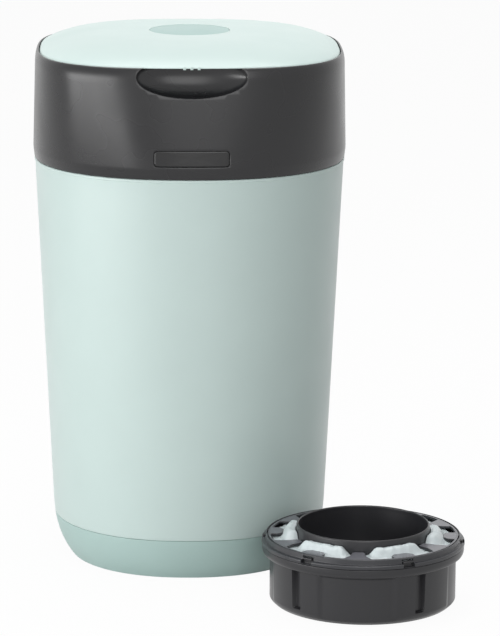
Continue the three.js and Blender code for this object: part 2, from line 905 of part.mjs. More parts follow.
// The spring coils round the pin in the gap of the barrel, and its leg lies under the flap.
function flapSpring(azimuth) {
  const radius = flapPinRadius + 2 * seatGap + springWire;
  const coil = spring(radius, 2 * (flapSpringGap - springWire - runGap));
  const tilted = coil.rotate([0, -flapSlope, 0]).translate([flapPivotReach, 0, flapPivotLevel]);
  return turnedAbout(tilted, azimuth);
}

function carouselCup() {
  return turned([
    round(cupHole, cupLevel),
    round(cupInner + cupWall, cupLevel),
    round(cupInner + cupWall, cupFlangeBottom),
    round(cupFlangeReach, cupFlangeBottom),
    round(cupFlangeReach, cupFlangeTop),
    round(cupInner, cupFlangeTop),
    round(cupInner, cupLevel + cupFloor),
    round(cupHole, cupLevel + cupFloor),
  ]);
}

// Saw teeth outside, so that the carousel only turns one way past the pawl.
function ratchetRing() {
  const points = [];
  const pitch = 360 / toothCount;
  for (let i = 0; i < toothCount; i += 1) {
    points.push(spot(ratchetRoot, i * pitch));
    points.push(spot(ratchetTip, (i + 1) * pitch - pitch / toothCount));
  }
  const shape = polygon(points);
  const hole = new THREE.Path();
  hole.absarc(0, 0, ratchetInner, 0, 2 * Math.PI, true);
  shape.holes.push(hole);
  const geometry = new THREE.ExtrudeGeometry(shape, {
    depth: ratchetHeight,
    bevelEnabled: false,
    curveSegments: bodySegments / 2,
  });
  return solidOf(geometry.translate(0, 0, ratchetBottom));
}

// The pawl rests in a tooth, and its square nose stops the carousel from turning back.
function pawl() {
  const [x, y] = spot(pawlReach, pawlAzimuth);
  const nose = spot(pawlNoseReach, pawlNoseAzimuth);
  const heel = spot(pawlNoseReach + 2 * pawlHeel, pawlNoseAzimuth);
  const along = new THREE.Vector2(nose[0] - x, nose[1] - y).normalize();
  const side = [-along.y * pawlHeel, along.x * pawlHeel];
  const arm = polygon([[x - side[0], y - side[1]], [x + side[0], y + side[1]], heel, nose]);
  const hub = upright(pawlHub, x, y, pawlBottom, pawlTop);
  const bore = upright(pawlPinRadius + seatGap, x, y, pawlBottom - overrun, pawlTop + overrun);
  return raised(arm, pawlBottom, pawlThick).add(hub).subtract(bore);
}

function pawlPin() {
  const [x, y] = spot(pawlReach, pawlAzimuth);
  const top = pawlTop + seatGap + pawlSpringHeight + 2 * seatGap;
  return upright(pawlPinRadius, x, y, chassisBottom, top);
}

function pawlSpring() {
  const [x, y] = spot(pawlReach, pawlAzimuth);
  const radius = pawlPinRadius + seatGap + springWire;
  const bottom = pawlTop + seatGap + springWire / 2;
  const coil = spring(radius, pawlSpringHeight - springWire).rotate([90, 0, 0]);
  return coil.rotate([0, 0, -90]).translate([x, y, bottom + (pawlSpringHeight - springWire) / 2]);
}

// The ring that a hand turns to twist the film shut.
function twistRing() {
  const top = ringBottom + ringHeight;
  const ring = turned([
    round(ringInner, ringBottom),
    round(ringOuter, ringBottom),
    round(ringOuter, top - ringEdge),
    round(ringOuter - ringEdge, top),
    round(ringLipInner + ringEdge, top),
    round(ringLipInner, top - ringEdge),
    round(ringLipFoot, shelfLevel),
    round(ringInner, shelfLevel),
  ]);
  const bite = upright(gripRadius, ringOuter + gripRadius - gripBite, 0, shelfLevel, top + overrun);
  const bites = [];
  for (let i = 0; i < gripCount; i += 1) bites.push(turnedAbout(bite, (360 / gripCount) * i));
  const [x, y] = spot(cutterReach, cutterAzimuth);
  const pinDepth = shelfLevel - cutterPinDepth - seatGap;
  const pinHole = upright(cutterPinRadius + seatGap, x, y, pinDepth, shelfLevel + overrun);
  return without(ring, [...bites, pinHole]);
}

// The cutter's arm lies along the twist ring's shelf, and swings inwards over the film.
function cutterArm() {
  const bottom = shelfLevel + seatGap;
  const inner = cutterReach - cutterHalfWidth;
  const outer = cutterReach + cutterHalfWidth;
  const middle = cutterAzimuth + cutterSweep / 2;
  const bow = raised(sector(inner, outer, middle, cutterSweep / 2), bottom, cutterThick);
  const ends = [cutterAzimuth, cutterAzimuth + cutterSweep].map((azimuth) => {
    const [x, y] = spot(cutterReach, azimuth);
    return upright(cutterHalfWidth, x, y, bottom, bottom + cutterThick);
  });
  const [x, y] = spot(cutterReach, cutterAzimuth);
  const bore = upright(cutterPinRadius + seatGap, x, y, bottom - overrun, bottom + 2 * overrun);
  return without(joined([bow, ...ends]), [bore, bladeBody(seatGap)]);
}

function bladeBody(extra) {
  const inner = cutterReach - cutterHalfWidth - bladeOut;
  const outer = cutterReach - cutterHalfWidth + bladeIn;
  const from = cutterAzimuth + bladeStart;
  const to = cutterAzimuth + bladeEnd;
  const swell = THREE.MathUtils.radToDeg(extra / cutterReach);
  const middle = (from + to) / 2;
  const level = shelfLevel + seatGap + (cutterThick - bladeThick) / 2;
  const shape = sector(inner, outer + extra, middle, (to - from) / 2 + swell);
  return raised(shape, level - extra, bladeThick + 2 * extra);
}

function cutterPin() {
  const [x, y] = spot(cutterReach, cutterAzimuth);
  const top = shelfLevel + seatGap + cutterThick;
  return upright(cutterPinRadius, x, y, shelfLevel - cutterPinDepth, top);
}

// Lid: a shallow dome with an upright rim, four screw posts, a hinge tongue and grip nubs.
function lidHeight(share) {
  return lidRise * (1 - share ** lidPower);
}

function lidDome() {
  const inner = lidHalf - lidWall;
  const innerEdge = collarTop - lidWall;
  const outside = domeShares.map((share) => at(share * lidHalf, collarTop + lidHeight(share)));
  const inside = domeShares.map((share) => at(share * inner, innerEdge + lidHeight(share)));
  return turned([
    at(0, innerEdge + lidRise),
    ...inside.reverse(),
    at(inner, innerEdge),
    at(inner, rimBottom),
    at(lidHalf, rimBottom),
    at(lidHalf, collarTop),
    ...outside,
    at(0, collarTop + lidRise),
  ]);
}

function lidTongue() {
  const bottom = tongueBottom();
  const half = knuckleHalfLength;
  const arm = block([-half, hingeY - tongueReach, bottom], [half, hingeY, bottom + tongueThick]);
  return arm.add(rodAlongX(hingeRadius, half, hingeY, hingeZ, 2 * smallSegments));
}

function lidNubs() {
  const nubs = [];
  for (let i = 0; i < nubCount; i += 1) {
    const x = (i - (nubCount - 1) / 2) * nubPitch;
    const low = [x - nubWidth / 2, -lidHalf + seatGap, lidEdge - nubDrop];
    const high = [x + nubWidth / 2, -lidHalf + nubDepth, lidEdge + nubDrop];
    nubs.push(block(low, high));
  }
  return nubs;
}

// The room over the finger scoop, where the lid has no upright rim.
function lidRelief() {
  const half = scoopHalfWidth + reliefMargin;
  const low = [-half, -lidHalf - overrun, rimBottom - overrun];
  return block(low, [half, -lidHalf + reliefDepth, lidEdge]);
}

function lidPanel() {
  const share = lidScrewReach / cornerFactor(radians(45), topExponent) / lidHalf;
  const under = collarTop - lidWall + lidHeight(share);
  const postBase = linerTop + seatGap;
  const post = upright(lidPostRadius, lidScrewReach, 0, postBase, under + lidWall / 2);
  const pilot = upright(lidScrewRadius + seatGap, lidScrewReach, 0, postBase - overrun, under);
  const posts = quarters.map((azimuth) => turnedAbout(post, azimuth));
  const pilots = quarters.map((azimuth) => turnedAbout(pilot, azimuth));
  const panel = lidDome().subtract(lidRelief());
  const whole = joined([panel, lidTongue(), ...lidNubs(), ...posts]);
  const top = collarTop + lidRise;
  const sunk = inlayRadius + seatGap;
  const recess = upright(sunk, 0, inlayBack, top - inlayDepth, top + overrun, bodySegments);
  const pinHole = rodAlongX(hingePinRadius + seatGap, hingeY, hingeY, hingeZ);
  return without(whole, [recess, pinHole, ...pilots]);
}

function lidInlay() {
  const bottom = collarTop + lidRise - inlayDepth + seatGap;
  return upright(inlayRadius, 0, inlayBack, bottom, bottom + inlayThick, bodySegments);
}

// The inner skin of the lid, whose flat band closes on the seal.
function lidLiner() {
  const bandInner = linerHalf - linerBand;
  const plateau = bandInner - linerSlope;
  const plateauBottom = linerBottom + linerRise;
  const sheet = turned([
    at(0, plateauBottom),
    at(plateau, plateauBottom),
    at(bandInner, linerBottom),
    at(linerHalf, linerBottom),
    at(linerHalf, linerBottom + linerThick),
    at(bandInner, linerBottom + linerThick),
    at(plateau, linerTop),
    at(0, linerTop),
  ]);
  const hole = upright(lidScrewRadius + seatGap, lidScrewReach, 0, linerBottom, linerTop + overrun);
  const holes = quarters.map((azimuth) => turnedAbout(hole, azimuth));
  return without(sheet, [scoopBall(scoopWall + runGap), ...holes]);
}

function lidSeal() {
  return turned([
    at(sealInner, sealBottom),
    at(sealInner + sealWidth, sealBottom),
    at(sealInner + sealWidth / 2, sealBottom + sealHeight),
    at(sealInner, sealBottom + sealHeight),
  ]);
}

function hingePin() {
  return rodAlongX(hingePinRadius, knuckleHalfLength + runGap + earLength, hingeY, hingeZ);
}

// Cassette: an open ring-shaped drum, a snap-on cap with windows, and the folded film inside.
function drumShell() {
  const beadLow = drumWallHeight + drumBeadRise;
  const beadTop = beadLow + drumBeadHeight;
  const lip = beadTop + drumSpigotHeight;
  const rim = tubeRimRound;
  return turned([
    round(tubeFootInner, 0),
    round(drumFoot, 0),
    round(mix(drumFoot, drumLow, 3 / 4), drumFootRise / 2),
    round(drumLow, drumFootRise),
    round(drumHigh, drumWallHeight),
    round(drumBeadReach, beadLow),
    round(drumBeadReach, beadTop),
    round(drumSpigot, beadTop),
    round(drumSpigot, lip),
    round(drumSpigot - drumSpigotWall, lip),
    round(drumSpigot - drumSpigotWall, beadTop - drumWall),
    round(drumLow - drumWall, beadTop - 2 * drumWall),
    round(drumLow - drumWall, drumFootRise),
    round(drumFoot, drumFloor),
    round(tubeFootOuter, drumFloor),
    round(tubeHighOuter, capUnder),
    round(tubeRimInner + 2 * rim, tubeHeight - rim),
    round(tubeRimInner + rim, tubeHeight),
    round(tubeRimInner, tubeHeight - rim),
    round(tubeRimInner, tubeHeight - tubeRimDepth),
  ]);
}

function windowAzimuths() {
  const step = 360 / windowCount;
  return Array.from({ length: windowCount }, (_, i) => (i + 1 / 2) * step);
}

// The drum's side has wide shallow bays with a narrow slot between each pair.
function drumCuts() {
  const pitch = 360 / bayCount;
  const beyond = drumBeadReach + overrun;
  const bays = Array.from({ length: bayCount }, (_, i) => {
    return sector(drumLow - bayDepth, beyond, i * pitch, bayHalfAngle);
  });
  const slots = slotAzimuths.map((azimuth) => {
    return sector(drumLow - slotDepth, beyond, azimuth, slotHalfAngle);
  });
  return [...bays, ...slots].map((shape) => raised(shape, bayLow, bayHigh - bayLow));
}

function clipBlock(inner, outer, width, low, high) {
  const box = block([inner, -width / 2, low], [outer, width / 2, high]);
  return windowAzimuths().map((azimuth) => turnedAbout(box, azimuth));
}

function cassetteDrum() {
  const low = capLevel + clipLow + hookInset;
  const high = capLevel + clipLow + clipHeight - hookInset;
  const inner = drumSpigot - drumSpigotWall / 2;
  const hooks = clipBlock(inner, capOuter - hookInset, clipWidth - 2 * hookInset, low, high);
  return joined([without(drumShell(), drumCuts()), ...hooks]);
}

function capLobe() {
  const tip = windowOuter - lobeReach;
  const root = windowOuter + lobeBury;
  const shape = polygon([
    [root, -lobeWidth / 2],
    [root, lobeWidth / 2],
    [tip + lobeCorner, lobeWidth / 2],
    [tip, lobeWidth / 2 - lobeCorner],
    [tip, lobeCorner - lobeWidth / 2],
    [tip + lobeCorner, -lobeWidth / 2],
  ]);
  return raised(shape, capUnder, capThick);
}

function cassetteCap() {
  const skirtInner = drumSpigot + seatGap;
  const plate = turned([
    round(capInner, capUnder),
    round(skirtInner, capUnder),
    round(skirtInner, capLevel),
    round(capOuter, capLevel),
    round(capOuter, capTop - capChamferDrop),
    round(capOuter - capChamferWidth, capTop),
    round(grooveOuter, capTop),
    round(grooveOuter, capTop - grooveDepth),
    round(grooveInner, capTop - grooveDepth),
    round(grooveInner, capTop),
    round(capInner, capTop),
  ]);
  const tabOuter = capInner + tabBury;
  const tab = block([capInner - tabReach, -tabWidth / 2, capUnder], [tabOuter, tabWidth / 2, capTop]);
  const step = 360 / windowCount;
  const tabs = Array.from({ length: windowCount }, (_, i) => turnedAbout(tab, i * step));
  const windows = windowAzimuths().map((azimuth) => {
    const shape = sector(capInner - overrun, windowOuter, azimuth, windowHalfAngle);
    return raised(shape, capUnder - overrun, capThick + 2 * overrun);
  });
  const lobes = windowAzimuths().map((azimuth) => turnedAbout(capLobe(), azimuth));
  const clipBottom = capLevel + clipLow;
  const clipInner = drumSpigot - drumSpigotWall;
  const reach = capOuter + overrun;
  const clips = clipBlock(clipInner, reach, clipWidth, clipBottom, clipBottom + clipHeight);
  return joined([without(joined([plate, ...tabs]), [...windows, ...clips]), ...lobes]);
}

function filmPack() {
  const bottom = drumFloor + seatGap;
  const top = capUnder - seatGap;
  return turned([
    round(filmInner, bottom),
    round(drumFoot - runGap, bottom),
    round(filmOuter, drumFootRise + seatGap),
    round(filmOuter, top),
    round(filmInner, top),
  ]);
}

// Assembly
addPiece("tub_shell", tubShell(), "mint");
addPiece("base_cup", baseCup(), "mintBase");
addPiece("collar", collar(), "charcoal");
addPiece("badge_plate", badgePlate(), "badge");
addPiece("deck", deck(), "grey");
addPiece("chassis", chassis(), "grey");
addPiece("gripper_cage", gripperCage(), "grey");
addPiece("hinge_pin", hingePin(), "steel");
addPiece("carousel_cup", carouselCup(), "charcoal");
addPiece("ratchet_ring", ratchetRing(), "grey");
addPiece("twist_ring", twistRing(), "mint");
addPiece("cutter_arm", cutterArm(), "charcoal");
addPiece("cutter_blade", bladeBody(0), "steel");
addPiece("cutter_pin", cutterPin(), "steel");
addPiece("pawl", pawl(), "grey");
addPiece("pawl_pin", pawlPin(), "steel");
addPiece("pawl_spring", pawlSpring(), "steel");
addPiece("lid_panel", lidPanel(), "mint");
addPiece("lid_inlay", lidInlay(), "mintInlay");
addPiece("lid_liner", lidLiner(), "grey");
addPiece("lid_seal", lidSeal(), "rubber");

quarters.forEach((azimuth, i) => {
  const postScrew = screw(
    screwHeadRadius,
    screwHeadHeight,
    screwShaftRadius,
    screwLength,
    chassisBottom - seatGap,
    postReach,
    azimuth,
  );
  const cageScrew = screw(
    cageScrewHeadRadius,
    cageScrewHeadHeight,
    cageScrewRadius,
    cageScrewLength,
    cageFlangeBottom - seatGap,
    cageScrewReach,
    azimuth,
  );
  const lidScrew = screw(
    lidScrewHeadRadius,
    lidScrewHeadHeight,
    lidScrewRadius,
    lidScrewLength,
    linerBottom + linerRise - seatGap,
    lidScrewReach,
    azimuth,
  );
  addPiece(`chassis_screw_${i + 1}`, postScrew, "steel");
  addPiece(`cage_screw_${i + 1}`, cageScrew, "steel");
  addPiece(`lid_screw_${i + 1}`, lidScrew, "steel");
});

for (let i = 0; i < flapCount; i += 1) {
  const azimuth = (360 / flapCount) * i;
  addPiece(`flap_${i + 1}`, flap(azimuth), "mint");
  addPiece(`flap_pin_${i + 1}`, flapPin(azimuth), "steel");
  addPiece(`flap_spring_${i + 1}`, flapSpring(azimuth), "steel");
}

const cassette = new THREE.Group();
cassette.position.set(cassetteX, cassetteY, 0);
cassette.rotation.z = radians(cassetteAzimuth);
addPiece("cassette_drum", cassetteDrum(), "cassette", cassette);
addPiece("cassette_cap", cassetteCap(), "cap", cassette);
addPiece("film_pack", filmPack(), "film", cassette);
bin.add(cassette);

export default bin;
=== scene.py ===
# %% [markdown]
# # A nappy bin and its refill cassette
#
# The bin is a family of moulded plastic shells: a tub, a base cup, a charcoal collar and a domed
# lid. Inside the collar sit a deck, a carousel that twists film shut, and four sprung flaps. A
# refill cassette stands on the floor beside it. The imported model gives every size, so this lesson
# only dresses it: each shell is made again with fine curves, soft edges and a moulded finish.

# %% Load the frame
import math

import bpy
from mathutils import Matrix, Vector


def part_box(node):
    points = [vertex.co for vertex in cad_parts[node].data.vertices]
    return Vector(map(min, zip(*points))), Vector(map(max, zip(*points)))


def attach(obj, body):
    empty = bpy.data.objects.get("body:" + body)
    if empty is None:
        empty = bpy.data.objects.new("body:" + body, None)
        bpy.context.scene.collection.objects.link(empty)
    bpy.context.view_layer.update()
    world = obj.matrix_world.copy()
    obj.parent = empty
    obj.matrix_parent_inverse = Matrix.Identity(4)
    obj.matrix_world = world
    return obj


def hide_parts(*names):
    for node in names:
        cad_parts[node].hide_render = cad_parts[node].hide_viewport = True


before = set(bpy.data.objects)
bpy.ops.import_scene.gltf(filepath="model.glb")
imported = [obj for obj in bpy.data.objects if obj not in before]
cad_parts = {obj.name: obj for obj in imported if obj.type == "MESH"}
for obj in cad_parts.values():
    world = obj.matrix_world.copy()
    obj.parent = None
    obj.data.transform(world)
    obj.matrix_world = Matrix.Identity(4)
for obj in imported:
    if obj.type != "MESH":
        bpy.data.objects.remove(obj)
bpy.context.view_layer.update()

# %% [markdown]
# ## Working in millimetres
#
# Plastic parts are drawn in millimetres, and Blender measures in metres. One named factor turns
# the first into the second, so every size below reads as it would on a drawing. The main
# levels come from the frame's own boxes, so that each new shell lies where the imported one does.

# %% Levels and half widths
MM = 0.001
FULL_TURN = 2 * math.pi


def low_and_high(node):
    """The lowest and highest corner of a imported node, in millimetres."""
    low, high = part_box(node)
    return low / MM, high / MM


TUB_LOW, TUB_HIGH = low_and_high("tub_shell")
COLLAR_LOW, COLLAR_HIGH = low_and_high("collar")
PIN_LOW, PIN_HIGH = low_and_high("hinge_pin")
COLLAR_TAPER, JOINT_GAP, PIN_DEPTH, RIM_DEPTH = 2.3, 0.3, 3, 4.3
LID_RISE, LID_GAP, LIP_WIDTH, SHOULDER_DROP = 13.2, 0.55, 0.6, 9.3
PARTING, NECK_TOP, TUB_TOP_HALF = TUB_LOW.z, TUB_HIGH.z, TUB_HIGH.x
COLLAR_BOTTOM, COLLAR_LOW_HALF = COLLAR_LOW.z, COLLAR_HIGH.x
COLLAR_HIGH_HALF = COLLAR_LOW_HALF - COLLAR_TAPER
TUB_TOP = COLLAR_BOTTOM - JOINT_GAP
HINGE_Y, HINGE_Z = (PIN_LOW.y + PIN_HIGH.y) / 2, (PIN_LOW.z + PIN_HIGH.z) / 2
COLLAR_TOP = HINGE_Z + PIN_DEPTH
LID_TOP, LID_RIM = COLLAR_TOP + LID_RISE, COLLAR_TOP - RIM_DEPTH
LID_HALF = low_and_high("lid_panel")[1].x
SHOULDER = COLLAR_TOP - SHOULDER_DROP
LIP_INNER = LID_HALF + LID_GAP
SHOULDER_WIDTH = COLLAR_HIGH_HALF - LIP_INNER - LIP_WIDTH
FOOT_EXPONENT, SEAT_EXPONENT, TOP_EXPONENT = 2.15, 2.25, 2.9
print("collar from", round(COLLAR_BOTTOM, 1), "to", round(COLLAR_TOP, 1), "mm")

# %% [markdown]
# ## One way to draw every shell
#
# Almost every shell here is an outline spun about an upright axis. An outline is a drawing in
# numbers: each point is a half width, a height and a corner radius, in millimetres. A corner
# straight from the pencil would be razor sharp, and moulded plastic never is, so the radius turns
# the corner into a short arc. Long straight runs are divided, because a later step bends them.


# %% Outlines
def softened(outline, bends=5, most=0.48, straight=-2):
    """Turns each corner (x, y, radius) into a short arc. A radius of 0 keeps the point, and so
    does a turn straighter than a limit. An arc takes at most a share of either side."""
    points = []
    for i, (x, y, radius) in enumerate(outline):
        here = Vector((x, y))
        to_before = Vector(outline[i - 1][:2]) - here
        to_after = Vector(outline[(i + 1) % len(outline)][:2]) - here
        before, after = to_before.normalized(), to_after.normalized()
        if radius == 0 or before.dot(after) < straight:
            points.append(here)
            continue
        reach = min(radius, to_before.length * most, to_after.length * most)
        start, end = here + before * reach, here + after * reach
        for k in range(bends + 1):
            t = k / bends
            points.append(start * (1 - t) ** 2 + here * 2 * t * (1 - t) + end * t**2)
    return points


def divided(points, longest):
    """Splits every run of a closed outline that is longer than a length."""
    fine = []
    for i, here in enumerate(points):
        after = points[(i + 1) % len(points)]
        on_axis = here.x == 0 and after.x == 0
        count = 1 if on_axis else max(1, math.ceil((after - here).length / longest))
        fine += [here.lerp(after, k / count) for k in range(count)]
    return fine


# %% [markdown]
# ## Spinning an outline
#
# Blender's Spin tool could do this, but it leaves doubled poles and faces that may point inwards.
# Writing the rings by hand gives one clean closed mesh: each outline point becomes a ring, and a
# point on the axis becomes a single pole.


# %% Spun shells
def smooth(piece, crease=35):
    """Smooth shading, apart from corners sharper than an angle."""
    piece.data.shade_smooth()
    piece.data.set_sharp_from_angle(angle=math.radians(crease))
    return piece


def placed(name, data):
    """A new object in the scene, at the origin."""
    piece = bpy.data.objects.new(name, data)
    bpy.context.scene.collection.objects.link(piece)
    return piece


def mesh_object(name, vertices, faces):
    """An object from points in millimetres."""
    mesh = bpy.data.meshes.new(name)
    mesh.from_pydata([Vector(v) * MM for v in vertices], [], faces)
    return smooth(placed(name, mesh))


def skin(name, rings):
    """A closed mesh from rings of points. A ring of one point is a pole, and the last ring joins
    the first."""
    vertices, numbered = [], []
    steps = max(len(ring) for ring in rings)
    for ring in rings:
        start = len(vertices)
        vertices += ring
        numbered.append([start + s % len(ring) for s in range(steps)])
    faces = []
    for low, high in zip(numbered, numbered[1:] + numbered[:1]):
        for s in range(steps):
            after = (s + 1) % steps
            corners = [low[s], low[after], high[after], high[s]]
            kept = [c for i, c in enumerate(corners) if c not in corners[:i]]
            if len(kept) > 2:
                faces.append(kept)
    return mesh_object(name, vertices, faces)


def spun(name, outline, steps=192, longest=14, push=None):
    """Spins an outline of (half, z, radius). push(angle, half, z) may move a point out or in."""
    rings = []
    for half, z in divided(softened(outline), longest):
        if half < 1e-6:
            rings.append([(0, 0, z)])
            continue
        ring = []
        for s in range(steps):
            angle = FULL_TURN * s / steps
            reach = half + (push(angle, half, z) if push else 0)
            ring.append((reach * math.cos(angle), reach * math.sin(angle), z))
        rings.append(ring)
    return skin(name, rings)


# %% [markdown]
# ## Squaring the round
#
# Seen from above, the bin is neither a circle nor a square but a superellipse, and it grows
# squarer towards the top. That is a rule, so Geometry Nodes can hold it: one tree scales every
# point of a round shell by a factor that depends on its angle and its height. The exponents are
# named inputs, and each shell of the bin goes through the same tree, so neighbouring shells always
# match.


# %% Node helpers
def add(tree, kind, links=None, **settings):
    """Adds a node, sets its properties, and gives its inputs values or other nodes' outputs. A list
    fills the inputs in order, and a dictionary names them."""
    node = tree.nodes.new(kind)
    for key, value in settings.items():
        setattr(node, key, value)
    for socket, source in links.items() if isinstance(links, dict) else enumerate(links or []):
        if isinstance(source, bpy.types.Node):
            source = source.outputs[0]
        if isinstance(source, bpy.types.NodeSocket):
            tree.links.new(source, node.inputs[socket])
        else:
            node.inputs[socket].default_value = source
    return node


def sized_tree(name, sizes):
    """A Geometry Nodes tree whose inputs are a geometry, named sizes and a material."""
    tree = bpy.data.node_groups.new(name, "GeometryNodeTree")
    socket = tree.interface.new_socket
    socket("Geometry", in_out="INPUT", socket_type="NodeSocketGeometry")
    for label, value in sizes.items():
        kind = "NodeSocketInt" if isinstance(value, int) else "NodeSocketFloat"
        socket(label, in_out="INPUT", socket_type=kind).default_value = value
    socket("Material", in_out="INPUT", socket_type="NodeSocketMaterial")
    socket("Geometry", in_out="OUTPUT", socket_type="NodeSocketGeometry")
    return tree, tree.nodes.new("NodeGroupInput").outputs


def close_tree(tree, inputs, geometry):
    """Ends a tree in Realize Instances and Set Material."""
    real = add(tree, "GeometryNodeRealizeInstances", {"Geometry": geometry})
    finish = {"Geometry": real, "Material": inputs["Material"]}
    painted = add(tree, "GeometryNodeSetMaterial", finish)
    tree.links.new(painted.outputs[0], tree.nodes.new("NodeGroupOutput").inputs[0])
    print(tree.name, "has", len(tree.nodes), "nodes")


def as_evaluated(piece):
    """A plain mesh of a piece, with its modifiers or its curve's bevel worked out."""
    bpy.context.view_layer.update()
    seen = piece.evaluated_get(bpy.context.evaluated_depsgraph_get())
    return bpy.data.meshes.new_from_object(seen)


def settled(piece):
    """Takes the evaluated mesh, so that no modifier is left on the piece."""
    mesh = as_evaluated(piece)
    piece.modifiers.clear()
    old, piece.data = piece.data, mesh
    bpy.data.meshes.remove(old)
    return smooth(piece)


def grown(piece, tree, **sizes):
    """Runs a tree on a piece. Sizes are named as the tree's inputs are, with _ for a space."""
    modifier = piece.modifiers.new("grow", "NODES")
    modifier.node_group = tree
    for item in tree.interface.items_tree:
        key = item.name.replace(" ", "_")
        if item.in_out == "INPUT" and key in sizes:
            modifier[item.identifier] = sizes[key]
    return settled(piece)


# %% The squaring tree
square_tree, rule = sized_tree(
    "square off",
    {
        "Foot exponent": FOOT_EXPONENT, "Seat exponent": SEAT_EXPONENT,
        "Top exponent": TOP_EXPONENT, "Seat level": TUB_TOP * MM, "Shoulder level": SHOULDER * MM,
        "Round below": -1.0, "Square above": -0.9,
    },
)
MATH, RANGE, NOISE = "ShaderNodeMath", "ShaderNodeMapRange", "ShaderNodeTexNoise"
SPLIT, COMBINE = "ShaderNodeSeparateXYZ", "ShaderNodeCombineXYZ"
place = add(square_tree, "GeometryNodeInputPosition")
x, y, z = add(square_tree, SPLIT, [place]).outputs
seat, shoulder = rule["Seat level"], rule["Shoulder level"]
turn = add(square_tree, MATH, [y, x], operation="ARCTAN2")
low_span = [z, 0.0, seat, rule["Foot exponent"], rule["Seat exponent"]]
lower = add(square_tree, RANGE, low_span)
high_gain = [rule["Top exponent"], rule["Seat exponent"]]
gain = add(square_tree, MATH, high_gain, operation="SUBTRACT")
upper = add(square_tree, RANGE, [z, seat, shoulder, 0.0, gain])
whole = add(square_tree, MATH, [lower, upper], operation="ADD")
extra = add(square_tree, MATH, [whole, 2.0], operation="SUBTRACT")
blend_span = [z, rule["Round below"], rule["Square above"], 0.0, 1.0]
share = add(square_tree, RANGE, blend_span)
exponent = add(square_tree, MATH, [extra, share, 2.0], operation="MULTIPLY_ADD")
powers = []
for wave in ("COSINE", "SINE"):
    part = add(square_tree, MATH, [turn], operation=wave)
    size = add(square_tree, MATH, [part], operation="ABSOLUTE")
    powers.append(add(square_tree, MATH, [size, exponent], operation="POWER"))
total = add(square_tree, MATH, powers, operation="ADD")
root = add(square_tree, MATH, [-1.0, exponent], operation="DIVIDE")
factor = add(square_tree, MATH, [total, root], operation="POWER")
wide = add(square_tree, MATH, [x, factor], operation="MULTIPLY")
deep = add(square_tree, MATH, [y, factor], operation="MULTIPLY")
squared = add(square_tree, COMBINE, [wide, deep, z])
links = {"Geometry": rule["Geometry"], "Position": squared}
close_tree(square_tree, rule, add(square_tree, "GeometryNodeSetPosition", links))


def shell(name, outline, round_below=-1000, square_above=-900, top=TOP_EXPONENT, **spin):
    """A spun outline, squared off. Between two levels it may turn from round to square."""
    levels = {"Round_below": round_below * MM, "Square_above": square_above * MM}
    return grown(spun(name, outline, **spin), square_tree, Top_exponent=top, **levels)


# %% [markdown]
# ## Repeating round the axis
#
# Screws, posts, ears, windows and grips all repeat about an upright axis. One small tree turns
# copies of whatever comes in, so each is drawn once, at the side, and its count is an input.

# %% The repeating tree
repeat_tree, asked = sized_tree("repeat round", {"Count": 4, "First angle": 0.0})
spots = add(repeat_tree, "GeometryNodePoints", {"Count": asked["Count"]})
step = add(repeat_tree, MATH, [FULL_TURN, asked["Count"]], operation="DIVIDE")
index = add(repeat_tree, "GeometryNodeInputIndex")
links = [index, step, asked["First angle"]]
facing = add(repeat_tree, MATH, links, operation="MULTIPLY_ADD")
links = {"Points": spots, "Instance": asked["Geometry"]}
links["Rotation"] = add(repeat_tree, COMBINE, {2: facing})
close_tree(repeat_tree, asked, add(repeat_tree, "GeometryNodeInstanceOnPoints", links))


def repeated(piece, count, first=0):
    """Copies a piece round the Z axis, from a first azimuth in degrees."""
    return grown(piece, repeat_tree, Count=count, First_angle=math.radians(first))


def in_corners(piece):
    """Four copies of a piece, one in each corner of the bin."""
    return repeated(piece, 4, first=45)


# %% [markdown]
# ## Joining and cutting
#
# A mould cuts a scoop or a pocket with one hard tool, and the Boolean modifier does the same. The
# exact solver keeps closed shells closed. The result is taken as a plain mesh straight away, so
# each step starts from finished geometry.


# %% Boolean helpers
def combined(piece, operation, others):
    """Joins or cuts a closed mesh with others, which are used up."""
    for other in others:
        modifier = piece.modifiers.new("combine", "BOOLEAN")
        modifier.object = other
        modifier.operation = operation
        modifier.solver = "EXACT"
        settled(piece)
        bpy.data.objects.remove(other)
    print(piece.name, operation.lower(), "leaves", len(piece.data.polygons), "faces")
    return piece


def cut(piece, *cutters):
    return combined(piece, "DIFFERENCE", cutters)


def join(piece, *others):
    return combined(piece, "UNION", others)


def shaped(piece, matrix):
    """Moves a piece's mesh, and leaves its object at the origin."""
    piece.data.transform(matrix)
    piece.data.update()
    return piece


def shifted(piece, x, y, z):
    return shaped(piece, Matrix.Translation(Vector((x, y, z)) * MM))


def swung(piece, degrees, axis="Z"):
    return shaped(piece, Matrix.Rotation(math.radians(degrees), 4, axis))


# %% Plates and rods
def rounded(piece, edge, bends=3):
    """Rounds a piece's sharp edges with a Bevel modifier."""
    bevel = piece.modifiers.new("edge", "BEVEL")
    bevel.width = edge * MM
    bevel.segments = bends
    bevel.limit_method = "ANGLE"
    bevel.angle_limit = math.radians(30)
    return settled(piece)


def slab(name, outline, bottom, top, edge=0.0):
    """A plate from plan points in anticlockwise order, with rounded edges."""
    vertices = [(x, y, z) for z in (bottom, top) for x, y in outline]
    count = len(outline)
    faces = [[i, (i + 1) % count, count + (i + 1) % count, count + i] for i in range(count)]
    faces += [list(range(count))[::-1], list(range(count, 2 * count))]
    piece = mesh_object(name, vertices, faces)
    return rounded(piece, edge) if edge else piece


def box(name, low, high, edge=0.0):
    (x0, y0, z0), (x1, y1, z1) = low, high
    return slab(name, [(x0, y0), (x1, y0), (x1, y1), (x0, y1)], z0, z1, edge)


